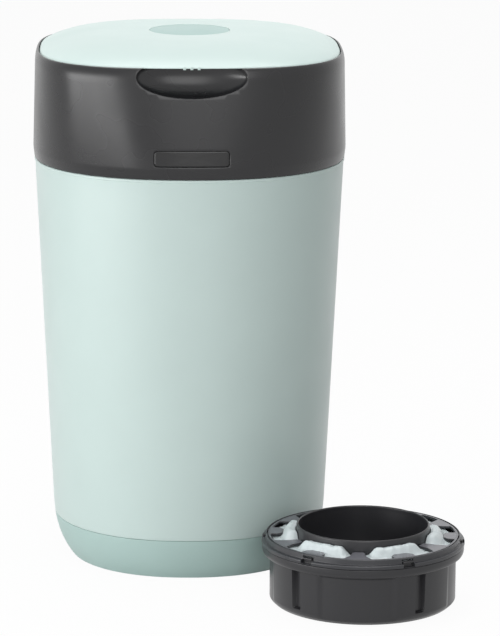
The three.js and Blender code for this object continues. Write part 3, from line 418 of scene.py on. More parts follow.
def arc(reach, start, end, count, x=0.0, y=0.0):
    """Plan points along an arc, between two angles in degrees."""
    angles = [math.radians(start + (end - start) * k / count) for k in range(count + 1)]
    return [(x + reach * math.cos(a), y + reach * math.sin(a)) for a in angles]


def at(reach, azimuth):
    """The plan point at a distance from the axis and an azimuth in degrees."""
    return arc(reach, azimuth, 0, 1)[0]


def rod(name, radius, x, y, bottom, top, edge=0.0, steps=48):
    """An upright round rod."""
    return slab(name, arc(radius, 0, 360, steps, x, y)[:-1], bottom, top, edge)


STAND_ON_X = Matrix(((0, 0, 1, 0), (1, 0, 0, 0), (0, 1, 0, 0), (0, 0, 0, 1)))
STAND_ON_Y = Matrix(((1, 0, 0, 0), (0, 0, -1, 0), (0, 1, 0, 0), (0, 0, 0, 1)))


def rod_along_x(name, radius, low, high, y, z, edge=0.0):
    """A rod along X: its plan is drawn in (y, z), and its height runs along X."""
    return shaped(rod(name, radius, y, z, low, high, edge), STAND_ON_X)


def rod_along_y(name, radius, low, high, x, z, edge=0.0):
    return shaped(rod(name, radius, x, z, -high, -low, edge), STAND_ON_Y)


# %% [markdown]
# ## Finishes
#
# The pins, springs, screws and blade are steel. The rest is plastic or rubber, with an IOR of
# about 1.5, and nearly all of it is moulded. What tells one moulding from another is the mould's
# own surface: a satin lid mirrors the room softly, a spark-eroded base looks chalky. Two noises do
# that work: a broad one drifts the pigment and the gloss by a few per cent, and a fine one raises
# the grain. Real grain is about 0.1 mm wide, too fine to show here, so it is drawn eight times as
# wide. Each finish is a material, kept together with the name of an imported slot.


# %% The surface builder
def linear(code):
    """An sRGB hex colour as the linear values that a shader expects."""
    values = [int(code[i : i + 2], 16) / 255 for i in (1, 3, 5)]
    return [v / 12.92 if v <= 0.04045 else ((v + 0.055) / 1.055) ** 2.4 for v in values] + [1]


PLASTIC_IOR, CLOUD_SIZE, DEEPER = 1.49, 45, 0.95


def surface(name, colour, roughness, grain=0.8, depth=0.003, drift=0.04, **sockets):
    """A moulded or drawn surface. grain and depth are its cell and its height in millimetres."""
    material = bpy.data.materials.new(name)
    material.use_nodes = True
    tree = material.node_tree
    shader = tree.nodes["Principled BSDF"]
    if "Metallic" not in sockets:
        shader.inputs["IOR"].default_value = PLASTIC_IOR
    for socket, value in sockets.items():
        shader.inputs[socket].default_value = value
    spot = add(tree, "ShaderNodeTexCoord").outputs["Object"]
    clouds = add(tree, NOISE, {"Vector": spot, "Scale": 1 / (CLOUD_SIZE * MM)})
    deeper = [value * DEEPER for value in linear(colour)[:3]] + [1]
    shades = {0: clouds, 6: linear(colour), 7: deeper}
    pigment = add(tree, "ShaderNodeMix", shades, data_type="RGBA")
    span = [clouds, 0.3, 0.7, roughness - drift, roughness + drift]
    gloss = add(tree, "ShaderNodeMapRange", span)
    cells = add(tree, NOISE, {"Vector": spot, "Scale": 1 / (grain * MM)})
    raised = add(tree, "ShaderNodeBump", {"Height": cells, "Distance": depth * MM})
    tree.links.new(pigment.outputs[2], shader.inputs["Base Color"])
    tree.links.new(gloss.outputs[0], shader.inputs["Roughness"])
    tree.links.new(raised.outputs[0], shader.inputs["Normal"])
    return material


# %% Materials
# Satin ABS mirrors the room as a wide soft patch.
MINT = surface("mint ABS, satin moulded", "#d8ebe7", 0.36), "mint_plastic"
MINT_INLAY = surface("deep mint ABS, satin moulded", "#aecdc8", 0.36), "mint_inlay_plastic"
CHARCOAL = surface("charcoal ABS, satin moulded", "#202022", 0.28), "charcoal_plastic"
# A spark-eroded mould leaves polypropylene chalky, with hardly a highlight.
MINT_BASE = surface("mint PP, spark eroded", "#bfdad5", 0.5, depth=0.008), "mint_base_plastic"
GREY = surface("pale grey PP, moulded", "#a9aeb0", 0.5), "grey_plastic"
# Polished acrylic has no grain and a crisp highlight.
BADGE = surface("black acrylic, polished", "#1a1a1b", 0.25, depth=0.0005), "black_plate"
# Recycled stock is a little uneven in gloss. The cap is smoother, and smoothest on its flat face,
# whose lighter colour is a painted sheen.
CASSETTE = surface("charcoal PP, recycled", "#2a2a2d", 0.33, drift=0.03), "cassette_plastic"
CAP = surface("charcoal PP, moulded", "#38393d", 0.3), "cap_plastic"
CAP_PAINTED_SHEEN = surface("charcoal PP, polished face", "#74747b", 0.2)
# Thin film glints from many small creases.
FILM = surface("barrier film, folded", "#e2ecee", 0.3, grain=3.0, depth=0.12), "film"
# Rubber is matt. Drawn steel has a metal's own reflection, softened by a fine grain.
RUBBER = surface("black EPDM rubber, moulded", "#2b2c2e", 0.7), "rubber"
STEEL = surface("drawn steel", "#b8bcc0", 0.3, grain=0.4, Metallic=1.0), "steel"
print(len(bpy.data.materials), "finishes")


def dress(piece, body, nodes, finish):
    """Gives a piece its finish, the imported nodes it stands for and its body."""
    material, slot = finish
    piece.data.materials.clear()
    piece.data.materials.append(material)
    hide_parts(*nodes)
    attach(piece, body)
    print(piece.name, "stands for", len(nodes), "nodes with", len(piece.data.polygons), "faces")
    return piece


# %% [markdown]
# ## The tub
#
# The tub tapers towards the floor, and its foot tucks in on a fast curve that continues into the
# base cup. The same rule gives both, so the joint line runs round the foot without a step. The
# wall is 2.4 mm, and the neck at the top plugs up into the collar.

# %% Tub shell
FLOOR_HALF, FOOT_INSET, FOOT_RISE, FOOT_POWER, WALL = 112.8, 12.6, 48, 2.7, 2.4


def tub_half(z):
    """Half width of the tub's side at a height."""
    tuck = max(0, 1 - z / FOOT_RISE) ** FOOT_POWER
    return FLOOR_HALF + (TUB_TOP_HALF - FLOOR_HALF) * z / TUB_TOP - FOOT_INSET * tuck


def collar_half(z):
    """Half width of the collar's side at a height, up to its rolled shoulder."""
    if z <= SHOULDER:
        climbed = (z - COLLAR_BOTTOM) / (SHOULDER - COLLAR_BOTTOM)
        return COLLAR_LOW_HALF + (COLLAR_HIGH_HALF - COLLAR_LOW_HALF) * climbed
    rise = min(0.98, (z - SHOULDER) / SHOULDER_DROP)
    return COLLAR_HIGH_HALF - SHOULDER_WIDTH * (1 - math.sqrt(1 - rise**2))


neck_half = collar_half(NECK_TOP) - 3.6
bead_low, bead_half = TUB_TOP - 2.6, TUB_TOP_HALF + 0.5
foot_levels = [PARTING, 39, 43, FOOT_RISE]
tub = shell(
    "tub_moulding",
    [
        (tub_half(PARTING) - WALL, PARTING, 0.4), (tub_half(PARTING), PARTING, 0.5),
        *[(tub_half(z), z, 0) for z in foot_levels[1:]], (tub_half(bead_low), bead_low, 0.4),
        (bead_half, bead_low + 0.4, 0.5), (bead_half, TUB_TOP, 1.3), (neck_half, TUB_TOP, 0.4),
        (neck_half, NECK_TOP, 0.8), (neck_half - WALL, NECK_TOP, 0.8),
        (neck_half - WALL, TUB_TOP - 4.5, 2), (tub_half(TUB_TOP - 9) - WALL, TUB_TOP - 9, 2),
        *[(tub_half(z) - WALL, z, 0) for z in foot_levels[:0:-1]],
    ],
    top=SEAT_EXPONENT,
)
dress(tub, "tub", ["tub_shell"], MINT)

# %% Base cup
CUP_TOP, PLUG_TOP, FLOOR = PARTING - JOINT_GAP, PARTING + 11.7, 2.6


def plug_half(z):
    return tub_half(z) - WALL - 0.35


foot_shares = (0.15, 0.25, 0.35, 0.45, 0.55, 0.65, 0.75, 0.85, 0.93)
foot_curve = [CUP_TOP * share**2 for share in foot_shares]
inner_curve = [z for z in foot_curve[::-1] if z > FLOOR + 1]
base = shell(
    "base_cup_moulding",
    [
        (0, 0, 0), (tub_half(0), 0, 1), *[(tub_half(z), z, 0) for z in foot_curve],
        (tub_half(CUP_TOP), CUP_TOP, 0.5), (plug_half(CUP_TOP), CUP_TOP, 0.2),
        (plug_half(PLUG_TOP), PLUG_TOP, 0.5), (plug_half(PLUG_TOP) - 2, PLUG_TOP, 0.5),
        (plug_half(CUP_TOP) - 2, CUP_TOP, 1),
        *[(min(tub_half(z) - FLOOR, plug_half(CUP_TOP) - 2), z, 0) for z in inner_curve],
        (tub_half(FLOOR) - 2 * FLOOR, FLOOR, 2), (0, FLOOR, 0),
    ],
)
dress(base, "tub", ["base_cup"], MINT_BASE)

# %% [markdown]
# ## Tools that follow the collar's face
#
# The collar's front is curved both ways, so a flat tool would cut its scoop and its badge pocket
# deeper in the middle than at the ends. Each cutter here is a set of rings that measures from the
# face itself. Its mouth flares like a small trumpet, which leaves the soft rim that catches the
# light. The flare stops 15 degrees short of the face, so the Boolean meets a clean crossing.

# %% The scoop's tool
SCOOP_LEVEL = COLLAR_TOP - 7
SCOOP_WIDE, SCOOP_DEEP, SCOOP_HIGH = 45, 14, 17
SHORT_OF_FLUSH = math.radians(15)
WALL_STEPS, RIM_STEPS, HALVINGS, NEAR_BY, OVERSHOOT = 16, 6, 40, 0.1, 1.2
FRONT = -COLLAR_HIGH_HALF
IN_FRONT = FRONT - 8


def face_y(x, z):
    """Where the collar's front face is, at a place seen from the front."""
    climbed = min(1, max(0, (z - TUB_TOP) / (SHOULDER - TUB_TOP)))
    power = SEAT_EXPONENT + (TOP_EXPONENT - SEAT_EXPONENT) * climbed
    half = collar_half(z)
    return -half * (1 - abs(x / half) ** power) ** (1 / power)


def scoop_ray(angle, rim):
    """Points (distance, y) from the scoop's deepest place to its flared rim, in one direction."""
    across, up = math.cos(angle), math.sin(angle)
    reach = 1 / math.hypot(across / SCOOP_WIDE, up / SCOOP_HIGH)

    def wall(t):
        return Vector((reach * math.sin(t), SCOOP_DEEP * math.cos(t) + FRONT))

    def face(distance):
        return face_y(distance * across, SCOOP_LEVEL + distance * up)

    low, high = 0.1, math.pi / 2
    for _ in range(HALVINGS):
        t = (low + high) / 2
        outwards = Vector((math.sin(t) / reach, math.cos(t) / SCOOP_DEEP)).normalized()
        centre = wall(t) + outwards * rim
        slope = (face(centre.x + NEAR_BY) - face(centre.x - NEAR_BY)) / (2 * NEAR_BY)
        if (centre.y - face(centre.x)) / math.hypot(1, slope) > rim:
            low = t
        else:
            high = t
    end = Vector((slope, -1)).normalized()
    swing = math.acos(max(-1, min(1, -outwards.dot(end)))) - SHORT_OF_FLUSH
    ray = [wall(t * k / WALL_STEPS) for k in range(1, WALL_STEPS + 1)]
    for k in range(1, RIM_STEPS + 1):
        spoke = Matrix.Rotation(swing * k / RIM_STEPS, 2) @ -outwards
        ray.append(centre + spoke * rim)
    tangent = Matrix.Rotation(math.pi / 2, 2) @ spoke
    ray.append(ray[-1] + tangent * OVERSHOOT)
    return ray + [Vector((ray[-1].x, IN_FRONT))]


def scoop_tool(rim=0.9, steps=144):
    """The whole tool: its rays, turned into rings about the line of sight."""
    angles = [FULL_TURN * s / steps for s in range(steps)]
    rings = [[(0, SCOOP_DEEP + FRONT, SCOOP_LEVEL)]]
    for spots in zip(*[scoop_ray(angle, rim) for angle in angles]):
        ring = []
        for angle, (distance, y) in zip(angles, spots):
            ring.append((distance * math.cos(angle), y, SCOOP_LEVEL + distance * math.sin(angle)))
        rings.append(ring)
    return skin("scoop_tool", rings + [[(0, IN_FRONT, SCOOP_LEVEL)]])


# %% Badge pocket and plate
BADGE_WIDE, BADGE_HIGH, BADGE_CORNER, BADGE_LEVEL = 60.8, 13, 3, COLLAR_BOTTOM + 16.9


def badge_ring(share, grow, depth):
    """A rounded rectangle on the collar's face, grown or drawn in, at a depth behind the face."""
    corner = max(0.2, BADGE_CORNER + grow)
    x, z = BADGE_WIDE / 2 + grow - corner, BADGE_HIGH / 2 + grow - corner
    line = []
    for cx, cz, start in ((x, z, 0), (-x, z, 90), (-x, -z, 180), (x, -z, 270)):
        line += arc(corner, start, start + 90, 8, cx, cz)
    fine = []
    for i, here in enumerate(line):
        there = line[(i + 1) % len(line)]
        # Points 8 and 26 start the long straight sides, and 17 and 35 the short ones.
        count = {8: 24, 17: 5}.get(i % 18, 1)
        fine += [[a + (b - a) * k / count for a, b in zip(here, there)] for k in range(count)]
    places = [(px * share, BADGE_LEVEL + pz * share) for px, pz in fine]
    return [(px, face_y(px, pz) + depth, pz) for px, pz in places]


def badge_skin(name, rows):
    """A closed skin from rows (share, grow, depth), from the back's middle to the front's."""
    rings = [badge_ring(*row) for row in rows]
    for end in (0, -1):
        rings[end] = [(0, rings[end][0][1], BADGE_LEVEL)]
    return skin(name, rings)


BADGE_RIM = 0.7
inward = [0, 0.2, 0.4, 0.6, 0.8, 0.95]
rim_rows = []
for k in range(RIM_STEPS + 1):
    bend = (math.pi / 2 - SHORT_OF_FLUSH) * k / RIM_STEPS
    rim_rows.append((1, BADGE_RIM * (1 - math.cos(bend)), BADGE_RIM * (1 - math.sin(bend))))
mouth = rim_rows[-1][1] + OVERSHOOT


def pocket_tool():
    """The pocket's tool, whose flared rim reaches past the face."""
    rows = [(share, -0.4, 2.2) for share in inward] + [(1, -0.4, 2.2), (1, -0.1, 2.1), (1, 0, 1.9)]
    rows += rim_rows + [(1, mouth, -0.28), (1, mouth, -4)]
    return badge_skin("pocket_tool", rows + [(share, mouth, -4) for share in inward[::-1]])


back = [(share, -0.5, 1.9) for share in inward] + [(1, -0.5, 1.9), (1, -0.35, 1.7)]
front = [(1, -0.35, 1.2), (1, -0.45, 1.0), (1, -0.7, 0.9)]
badge = badge_skin("badge_blank", back + front + [(share, -0.9, 0.9) for share in inward[::-1]])
dress(badge, "head", ["badge_plate"], BADGE)

# %% [markdown]
# ## The collar
#
# The collar is the bin's strongest shape: a charcoal band with a rolled shoulder, a finger scoop
# at the front and hinge ears at the back. The band is spun and squared like the tub. The scoop's
# bowl is an ellipsoid that bulges inwards, cut off where the collar's own wall begins, and then
# hollowed.

# %% Collar band
ROLL_STEPS = 12
shoulder_roll = []
for k in range(1, ROLL_STEPS + 1):
    lean = math.radians(90 * k / ROLL_STEPS)
    half = COLLAR_HIGH_HALF - SHOULDER_WIDTH * (1 - math.cos(lean))
    corner = 0 if k < ROLL_STEPS else 0.2
    shoulder_roll.append((half, SHOULDER + SHOULDER_DROP * math.sin(lean), corner))
LEDGE_TOP, LEDGE_BOTTOM, LEDGE_HALF = COLLAR_TOP - 4.8, COLLAR_TOP - 7.8, LIP_INNER - 6.7
crease = COLLAR_BOTTOM + 8.5
collar = shell(
    "collar_moulding",
    [
        (COLLAR_LOW_HALF - 3, COLLAR_BOTTOM, 0.5),
        (collar_half(crease) - 0.9, COLLAR_BOTTOM, 1.6), (collar_half(crease), crease, 1.5),
        (COLLAR_HIGH_HALF, SHOULDER, 0), *shoulder_roll, (LIP_INNER, COLLAR_TOP, 0.2),
        (LIP_INNER, LEDGE_TOP, 0.5), (LEDGE_HALF, LEDGE_TOP, 0.6),
        (LEDGE_HALF, LEDGE_BOTTOM, 0.4), (COLLAR_HIGH_HALF - 3, LEDGE_BOTTOM, 1),
    ],
    steps=256,
    longest=4,
)


# %% Scoop bowl, ears and posts
def scoop_ball(name, extra, steps=96):
    """The scoop's ellipsoid, thicker by an extra, as rings about its upright axis."""
    half_x, half_y, half_z = SCOOP_WIDE + extra, SCOOP_DEEP + extra, SCOOP_HIGH + extra
    rings = [[(0, FRONT, SCOOP_LEVEL - half_z)]]
    for k in range(1, steps // 2):
        tilt = FULL_TURN * k / steps - math.pi / 2
        plan = arc(math.cos(tilt), 0, 360, steps)[:-1]
        level = SCOOP_LEVEL + half_z * math.sin(tilt)
        rings.append([(half_x * px, half_y * py + FRONT, level) for px, py in plan])
    return skin(name, rings + [[(0, FRONT, SCOOP_LEVEL + half_z)]])


SKIN = 1.5
inside = [
    (0, COLLAR_BOTTOM, 0), (COLLAR_LOW_HALF - SKIN, COLLAR_BOTTOM, 0),
    (COLLAR_HIGH_HALF - SKIN, SHOULDER, 0),
]
lip = [(LIP_INNER, COLLAR_TOP - 0.8, 0), (0, COLLAR_TOP - 0.8, 0)]
bowl = combined(scoop_ball("bowl", 2.2), "INTERSECT", [shell("bowl_room", inside + lip)])

HINGE_RADIUS, PIN_RADIUS, KNUCKLE = 4.5, 1.6, 20
BORE_RADIUS, EAR_DROP = PIN_RADIUS + 0.3, 17


def hinge_ear(low, high):
    """One of the collar's two ears, from the band to round the pin."""
    slant, root = HINGE_RADIUS * math.sqrt(0.5), COLLAR_HIGH_HALF - 2.6
    outline = [(root, HINGE_Z - EAR_DROP), (COLLAR_HIGH_HALF, HINGE_Z - EAR_DROP)]
    outline.append((HINGE_Y + slant, HINGE_Z - slant))
    outline += arc(HINGE_RADIUS, -40, 180, 20, HINGE_Y, HINGE_Z)
    outline.append((root, HINGE_Z - HINGE_RADIUS))
    return shaped(slab("ear", outline, low, high, 0.7), STAND_ON_X)


POST_REACH, POST_BOTTOM, POST_TOP = 124.2, 355.5, 417.6
post = rod("posts", 4.2, POST_REACH, 0, POST_BOTTOM, POST_TOP)
rib = box("rib", (POST_REACH, -1.5, POST_BOTTOM + 1), (POST_REACH + 16.5, 1.5, POST_TOP - 1))
pilot = rod("pilot", 1.85, POST_REACH, 0, POST_BOTTOM - 5, POST_BOTTOM + 23)
posts = in_corners(cut(join(post, rib), pilot))
combined(posts, "INTERSECT", [shell("collar_room", inside + [(0, SHOULDER, 0)])])
EAR_INNER, EAR_OUTER = KNUCKLE + 0.5, KNUCKLE + 10
ears = hinge_ear(EAR_INNER, EAR_OUTER), hinge_ear(-EAR_OUTER, -EAR_INNER)
join(collar, bowl, *ears, posts)
notch_low = (-EAR_INNER, LEDGE_HALF - 5, COLLAR_TOP - 4.7)
notch = box("notch", notch_low, (EAR_INNER, HINGE_Y, COLLAR_TOP + 5))
bore = rod_along_x("bore", BORE_RADIUS, -60, 60, HINGE_Y, HINGE_Z)
cut(collar, scoop_tool(), pocket_tool(), notch, bore)
dress(collar, "head", ["collar"], CHARCOAL)

# %% [markdown]
# ## The lid
#
# The lid is a shallow dome on an upright rim. Its height follows a high power of the distance from
# the middle, so it is nearly flat on top and rolls over quickly at the edge. A thin disc of deeper
# mint is let into the top, and three nubs under the front edge give the fingertips a grip.

# %% Lid panel
DOME_POWER, LID_WALL = 5.4, 2.6
dome_shares = [0.965, 0.93, 0.895, 0.86, 0.82, 0.78, 0.73, 0.67, 0.6, 0.5, 0.38, 0.2]


def dome(share):
    """The dome's height above its edge, at a share of the way out."""
    return LID_RISE * (1 - share**DOME_POWER)


inner_half, inner_edge = LID_HALF - LID_WALL, COLLAR_TOP - LID_WALL
lid = shell(
    "lid_moulding",
    [
        (0, inner_edge + LID_RISE, 0),
        *[(share * inner_half, inner_edge + dome(share), 0) for share in dome_shares[::-1]],
        (inner_half, inner_edge, 1), (inner_half, LID_RIM, 0.4), (LID_HALF, LID_RIM, 0.5),
        (LID_HALF, COLLAR_TOP, 2.2),
        *[(share * LID_HALF, COLLAR_TOP + dome(share), 0) for share in dome_shares],
        (0, LID_TOP, 0),
    ],
    steps=256,
    longest=5,
)
relief_low = (-SCOOP_WIDE - 0.2, -LID_HALF - 5, LID_RIM - 5)
relief = box("relief", relief_low, (SCOOP_WIDE + 0.2, 7.2 - LID_HALF, COLLAR_TOP - 0.3))
LID_SCREW_REACH, SCREW_HOLE, SCOOP_ROOM, SMALL_HOLE = 80, 1.7, 2.7, 1.6
tongue = box("tongue", (-KNUCKLE, 119, COLLAR_TOP - 4.2), (KNUCKLE, HINGE_Y, COLLAR_TOP - 0.4), 0.6)
knuckle = rod_along_x("knuckle", HINGE_RADIUS, -KNUCKLE, KNUCKLE, HINGE_Y, HINGE_Z, 0.5)
lid_post = rod("lid_posts", 4, LID_SCREW_REACH, 0, 433.5, 440.2)
lid_pilot = rod("lid_pilots", SCREW_HOLE, LID_SCREW_REACH, 0, 428, 438.9)
bore = rod_along_x("bore", BORE_RADIUS, -60, 60, HINGE_Y, HINGE_Z)
join(cut(lid, relief), tongue, knuckle, in_corners(lid_post))
for x in (-5.8, 0, 5.8):
    low = (x - 1.2, 0.3 - LID_HALF, COLLAR_TOP - 1.5)
    high = (x + 1.2, 2 - LID_HALF, COLLAR_TOP + 0.9)
    join(lid, box("nub", low, high, 0.4))

# %% Inlay and its recess
INLAY_BACK, INLAY_RADIUS = 6, 33
sunk = INLAY_RADIUS + 0.3
flare = [(sunk + 0.4 + px, LID_TOP - 0.4 + pz, 0) for px, pz in arc(0.4, 180, 105, 5)]
sill, over, wide = LID_TOP - 1.3, LID_TOP + 5, sunk + 1.5
recess_outline = [(0, sill, 0), (sunk, sill, 0.3), *flare]
recess_outline += [(wide, LID_TOP + 0.3, 0), (wide, over, 0), (0, over, 0)]
recess = shifted(spun("recess_tool", recess_outline), 0, INLAY_BACK, 0)
cut(lid, in_corners(lid_pilot), bore, recess)
dress(lid, "lid", ["lid_panel"], MINT)
inlay = rod("inlay_disc", INLAY_RADIUS, 0, INLAY_BACK, LID_TOP - 1, LID_TOP - 0.2, 0.3, 192)
dress(inlay, "lid", ["lid_inlay"], MINT_INLAY)

# %% [markdown]
# ## Under the lid
#
# With the lid up, the eye falls on the liner that closes it from below and on the seal that the
# liner lands on. Both follow the bin's own outline, so both are squared shells.

# %% Liner and seal
liner = shell(
    "lid_liner_moulding",
    [
        (0, 431, 0), (96, 431, 3), (104, 425.9, 3), (116.5, 425.9, 0.6), (116.5, 428.1, 0.6),
        (104, 428.1, 3), (96, 433.2, 3), (0, 433.2, 0),
    ],
)
liner_hole = rod("liner_holes", SCREW_HOLE, LID_SCREW_REACH, 0, 420, 440)
cut(liner, in_corners(liner_hole), scoop_ball("scoop_room", SCOOP_ROOM))
dress(liner, "lid", ["lid_liner"], GREY)
seal_outline = [(107.2, 422.5, 0.3), (110.4, 422.5, 0.3)]
seal_outline += [(108.8, 425.6, 1.2), (107.2, 425.6, 0.6)]
dress(shell("seal_ring", seal_outline), "head", ["lid_seal"], RUBBER)
pin = rod_along_x("hinge_rod", PIN_RADIUS, -EAR_OUTER, EAR_OUTER, HINGE_Y, HINGE_Z, 0.4)
dress(pin, "head", ["hinge_pin"], STEEL)

# %% [markdown]
# ## The deck and the carousel
#
# The deck bridges the collar's squared opening and the round carousel. It shows how the squaring
# tree blends: the same outline is round at its lower ring and square at its flange. The carousel
# is three plain turned rings. The top one has twelve shallow bites for the fingers.

# %% Deck
deck_outline = [
    (105.2, 401, 0.4), (107.4, 401, 0.4), (107.5, 417.9, 0.8), (121.4, 417.9, 0.4),
    (121.4, 420.9, 0.4), (117.3, 420.9, 0.2), (117.3, 422.2, 0.4), (106, 422.2, 0.8),
    (105.2, 405, 0),
]
deck = shell("deck_moulding", deck_outline, round_below=405, square_above=417.9, longest=3)
cut(deck, scoop_ball("scoop_room", SCOOP_ROOM))
dress(deck, "head", ["deck"], GREY)

# %% Carousel
cup_outline = [
    (53, 340, 0.6), (83, 340, 2.5), (83, 378.6, 0.5), (102.5, 378.6, 0.5), (102.5, 381.6, 0.5),
    (79.6, 381.6, 0.8), (79.6, 342.2, 2), (53, 342.2, 0.6),
]
dress(spun("cup_moulding", cup_outline), "carousel", ["carousel_cup"], CHARCOAL)

SHELF, RING_TOP = 396.9, 405.1
ring_outline = [
    (84.5, 381.9, 0.4), (103, 381.9, 0.6), (103, RING_TOP, 1.6), (97.3, RING_TOP, 1.6),
    (96.5, SHELF, 1.5), (84.5, SHELF, 0.8),
]
ring = spun("twist_ring_moulding", ring_outline, longest=4)
bite = rod("bites", 6, 107.5, 0, SHELF, RING_TOP + 5)
CUTTER_REACH, CUTTER_AZIMUTH, CUTTER_SWEEP = 90, -60, 22
cutter_x, cutter_y = at(CUTTER_REACH, CUTTER_AZIMUTH)
pin_hole = rod("pin_hole", SMALL_HOLE, cutter_x, cutter_y, SHELF - 11.3, SHELF + 5)
cut(ring, repeated(bite, 12), pin_hole)
dress(ring, "carousel", ["twist_ring"], MINT)

# %% Ratchet teeth
TOOTH_COUNT, ROOT, TIP, BORE, RATCHET_TOP = 36, 99.6, 102.6, 91, 378.3
pitch = 360 / TOOTH_COUNT
outer, inner = [], []
for i in range(TOOTH_COUNT):
    for climbed in (0, 0.25, 0.5, 0.75, 1):
        # The back of each tooth drops almost straight down to the next root.
        azimuth = (i + climbed * (1 - 1 / TOOTH_COUNT)) * pitch
        outer.append(at(ROOT + (TIP - ROOT) * climbed, azimuth))
        inner.append(at(BORE, azimuth))
below = RATCHET_TOP - 6
levels = [(inner, below), (outer, below), (outer, RATCHET_TOP), (inner, RATCHET_TOP)]
teeth = skin("ratchet_teeth", [[(px, py, level) for px, py in line] for line, level in levels])
dress(teeth, "carousel", ["ratchet_ring"], GREY)

# %% Film cutter
ARM_HALF = 3.5
tip = CUTTER_AZIMUTH + CUTTER_SWEEP
tip_x, tip_y = at(CUTTER_REACH, tip)
arm_outline = [
    *arc(CUTTER_REACH + ARM_HALF, CUTTER_AZIMUTH, tip, 16),
    *arc(ARM_HALF, tip, tip + 180, 10, tip_x, tip_y)[1:-1],
    *arc(CUTTER_REACH - ARM_HALF, tip, CUTTER_AZIMUTH, 16),
    *arc(ARM_HALF, CUTTER_AZIMUTH + 180, CUTTER_AZIMUTH + 360, 10, cutter_x, cutter_y)[1:-1],
]


def blade(name, room):
    """The blade, or the slot that it needs."""
    first, last = CUTTER_AZIMUTH + 12, CUTTER_AZIMUTH + 19
    swell = math.degrees(room / CUTTER_REACH)
    first, last = first - swell, last + swell
    sides = arc(89.5 + room, first, last, 8) + arc(82.5, last, first, 8)
    return slab(name, sides, 399.15 - room, 399.95 + room)


arm = slab("cutter_arm_moulding", arm_outline, SHELF + 0.3, SHELF + 5, 0.6)
cut(arm, rod("bore", SMALL_HOLE, cutter_x, cutter_y, SHELF - 5, SHELF + 10), blade("slot", 0.3))
dress(arm, "cutter", ["cutter_arm"], CHARCOAL)
dress(blade("cutter_edge", 0), "cutter", ["cutter_blade"], STEEL)
pivot = rod("cutter_pivot", 1.3, cutter_x, cutter_y, SHELF - 11, SHELF + 5, 0.3)
dress(pivot, "cutter", ["cutter_pin"], STEEL)

# %% [markdown]
# ## The chassis and what hangs from it
#
# The chassis is a plate with a tube that the carousel turns on. Its outline is squared but its
# tube is round at the same height, so the two are made apart and joined. The gripper cage hangs
# below it, and its floor is open in a cross so that the four flaps can swing down.

# %% Chassis
CHASSIS_BOTTOM, CAGE_SCREW_REACH, BELOW_CHASSIS = 352.2, 92.5, 345
plate_top = CHASSIS_BOTTOM + 3
plate_outline = [(60, CHASSIS_BOTTOM, 0), (125.6, CHASSIS_BOTTOM, 0.5)]
chassis = shell("chassis_moulding", plate_outline + [(125.6, plate_top, 0.5), (60, plate_top, 0)])
tube_outline = [(85, CHASSIS_BOTTOM, 0.3), (88, CHASSIS_BOTTOM, 0)]
tube_outline += [(88, RATCHET_TOP, 0.5), (85, RATCHET_TOP, 0.5)]
cut(chassis, rod("bearing_bore", 86.5, 0, 0, CHASSIS_BOTTOM - 5, CHASSIS_BOTTOM + 10, steps=192))
join(chassis, spun("bearing_tube", tube_outline))
pawl_x, pawl_y = at(112, 190)
join(chassis, rod("pawl_post", 3.6, pawl_x, pawl_y, CHASSIS_BOTTOM + 1, 372.6))
for radius, reach in ((1.9, POST_REACH), (SMALL_HOLE, CAGE_SCREW_REACH)):
    hole = rod("holes", radius, reach, 0, BELOW_CHASSIS, 365, steps=24)
    cut(chassis, in_corners(hole))
cut(chassis, rod("pawl_hole", SCREW_HOLE, pawl_x, pawl_y, BELOW_CHASSIS, 380))
dress(chassis, "head", ["chassis"], GREY)

# %% Gripper cage
CAGE_TOP, CAGE_BOTTOM, FLAP_REACH, FLAP_LEVEL, PIN_HOLE = 351.9, 317.9, 60, 330, 1.8
basket = [
    (50, CAGE_BOTTOM, 0.5), (88.5, CAGE_BOTTOM, 1.5), (88.5, CAGE_TOP - 2.5, 0.5),
    (97, CAGE_TOP - 2.5, 0.5), (97, CAGE_TOP, 0.4), (86, CAGE_TOP, 0.4),
    (86, CAGE_BOTTOM + 2.5, 0.8), (50, CAGE_BOTTOM + 2.5, 0.5),
]
cage = spun("cage_moulding", basket)
for long, wide in ((64, 44), (44, 64)):
    cut(cage, box("bay", (-long, -wide, 310), (long, wide, 325)))
for low in (44.5, -48.5):
    ear = box("ears", (FLAP_REACH - 4, low, CAGE_BOTTOM + 1.3), (FLAP_REACH + 4, low + 4, 334), 0.6)
    join(cage, repeated(ear, 4))
cut(cage, repeated(rod_along_y("pin_holes", PIN_HOLE, -49, 49, FLAP_REACH, FLAP_LEVEL), 4))
screw_room = rod("screw_room", SMALL_HOLE, CAGE_SCREW_REACH, 0, 312, 357, steps=24)
cut(cage, in_corners(screw_room))
dress(cage, "head", ["gripper_cage"], GREY)

# %% Flaps
FLAP_SLOPE, FLAP_HALF, FLAP_TIP, FLAP_LONG = 35, 43, 9, 56
spring_room = ((-4.1, -7, -4.1), (4.1, 7, 4.1))


def flap(number):
    """A flap, drawn at the axis and then moved to its place in the cage."""
    plan = [(0, -FLAP_HALF), (0, FLAP_HALF), (-FLAP_LONG, FLAP_TIP), (-FLAP_LONG, -FLAP_TIP)]
    plate = slab("flap_moulding_%d" % number, plan, -1.2, 1.2, 0.8)
    swung(plate, -FLAP_SLOPE, "Y")
    join(plate, rod_along_y("barrel", 3.6, -FLAP_HALF, FLAP_HALF, 0, 0, 0.4))
    cut(plate, rod_along_y("bore", PIN_HOLE, -60, 60, 0, 0), box("spring_room", *spring_room))
    return swung(shifted(plate, FLAP_REACH, 0, FLAP_LEVEL), 90 * (number - 1))


for number in range(1, 5):
    dress(flap(number), "flap_%d" % number, ["flap_%d" % number], MINT)
pins = repeated(rod_along_y("flap_rods", 1.5, -48.5, 48.5, FLAP_REACH, FLAP_LEVEL, 0.3), 4)
dress(pins, "head", ["flap_pin_%d" % i for i in range(1, 5)], STEEL)

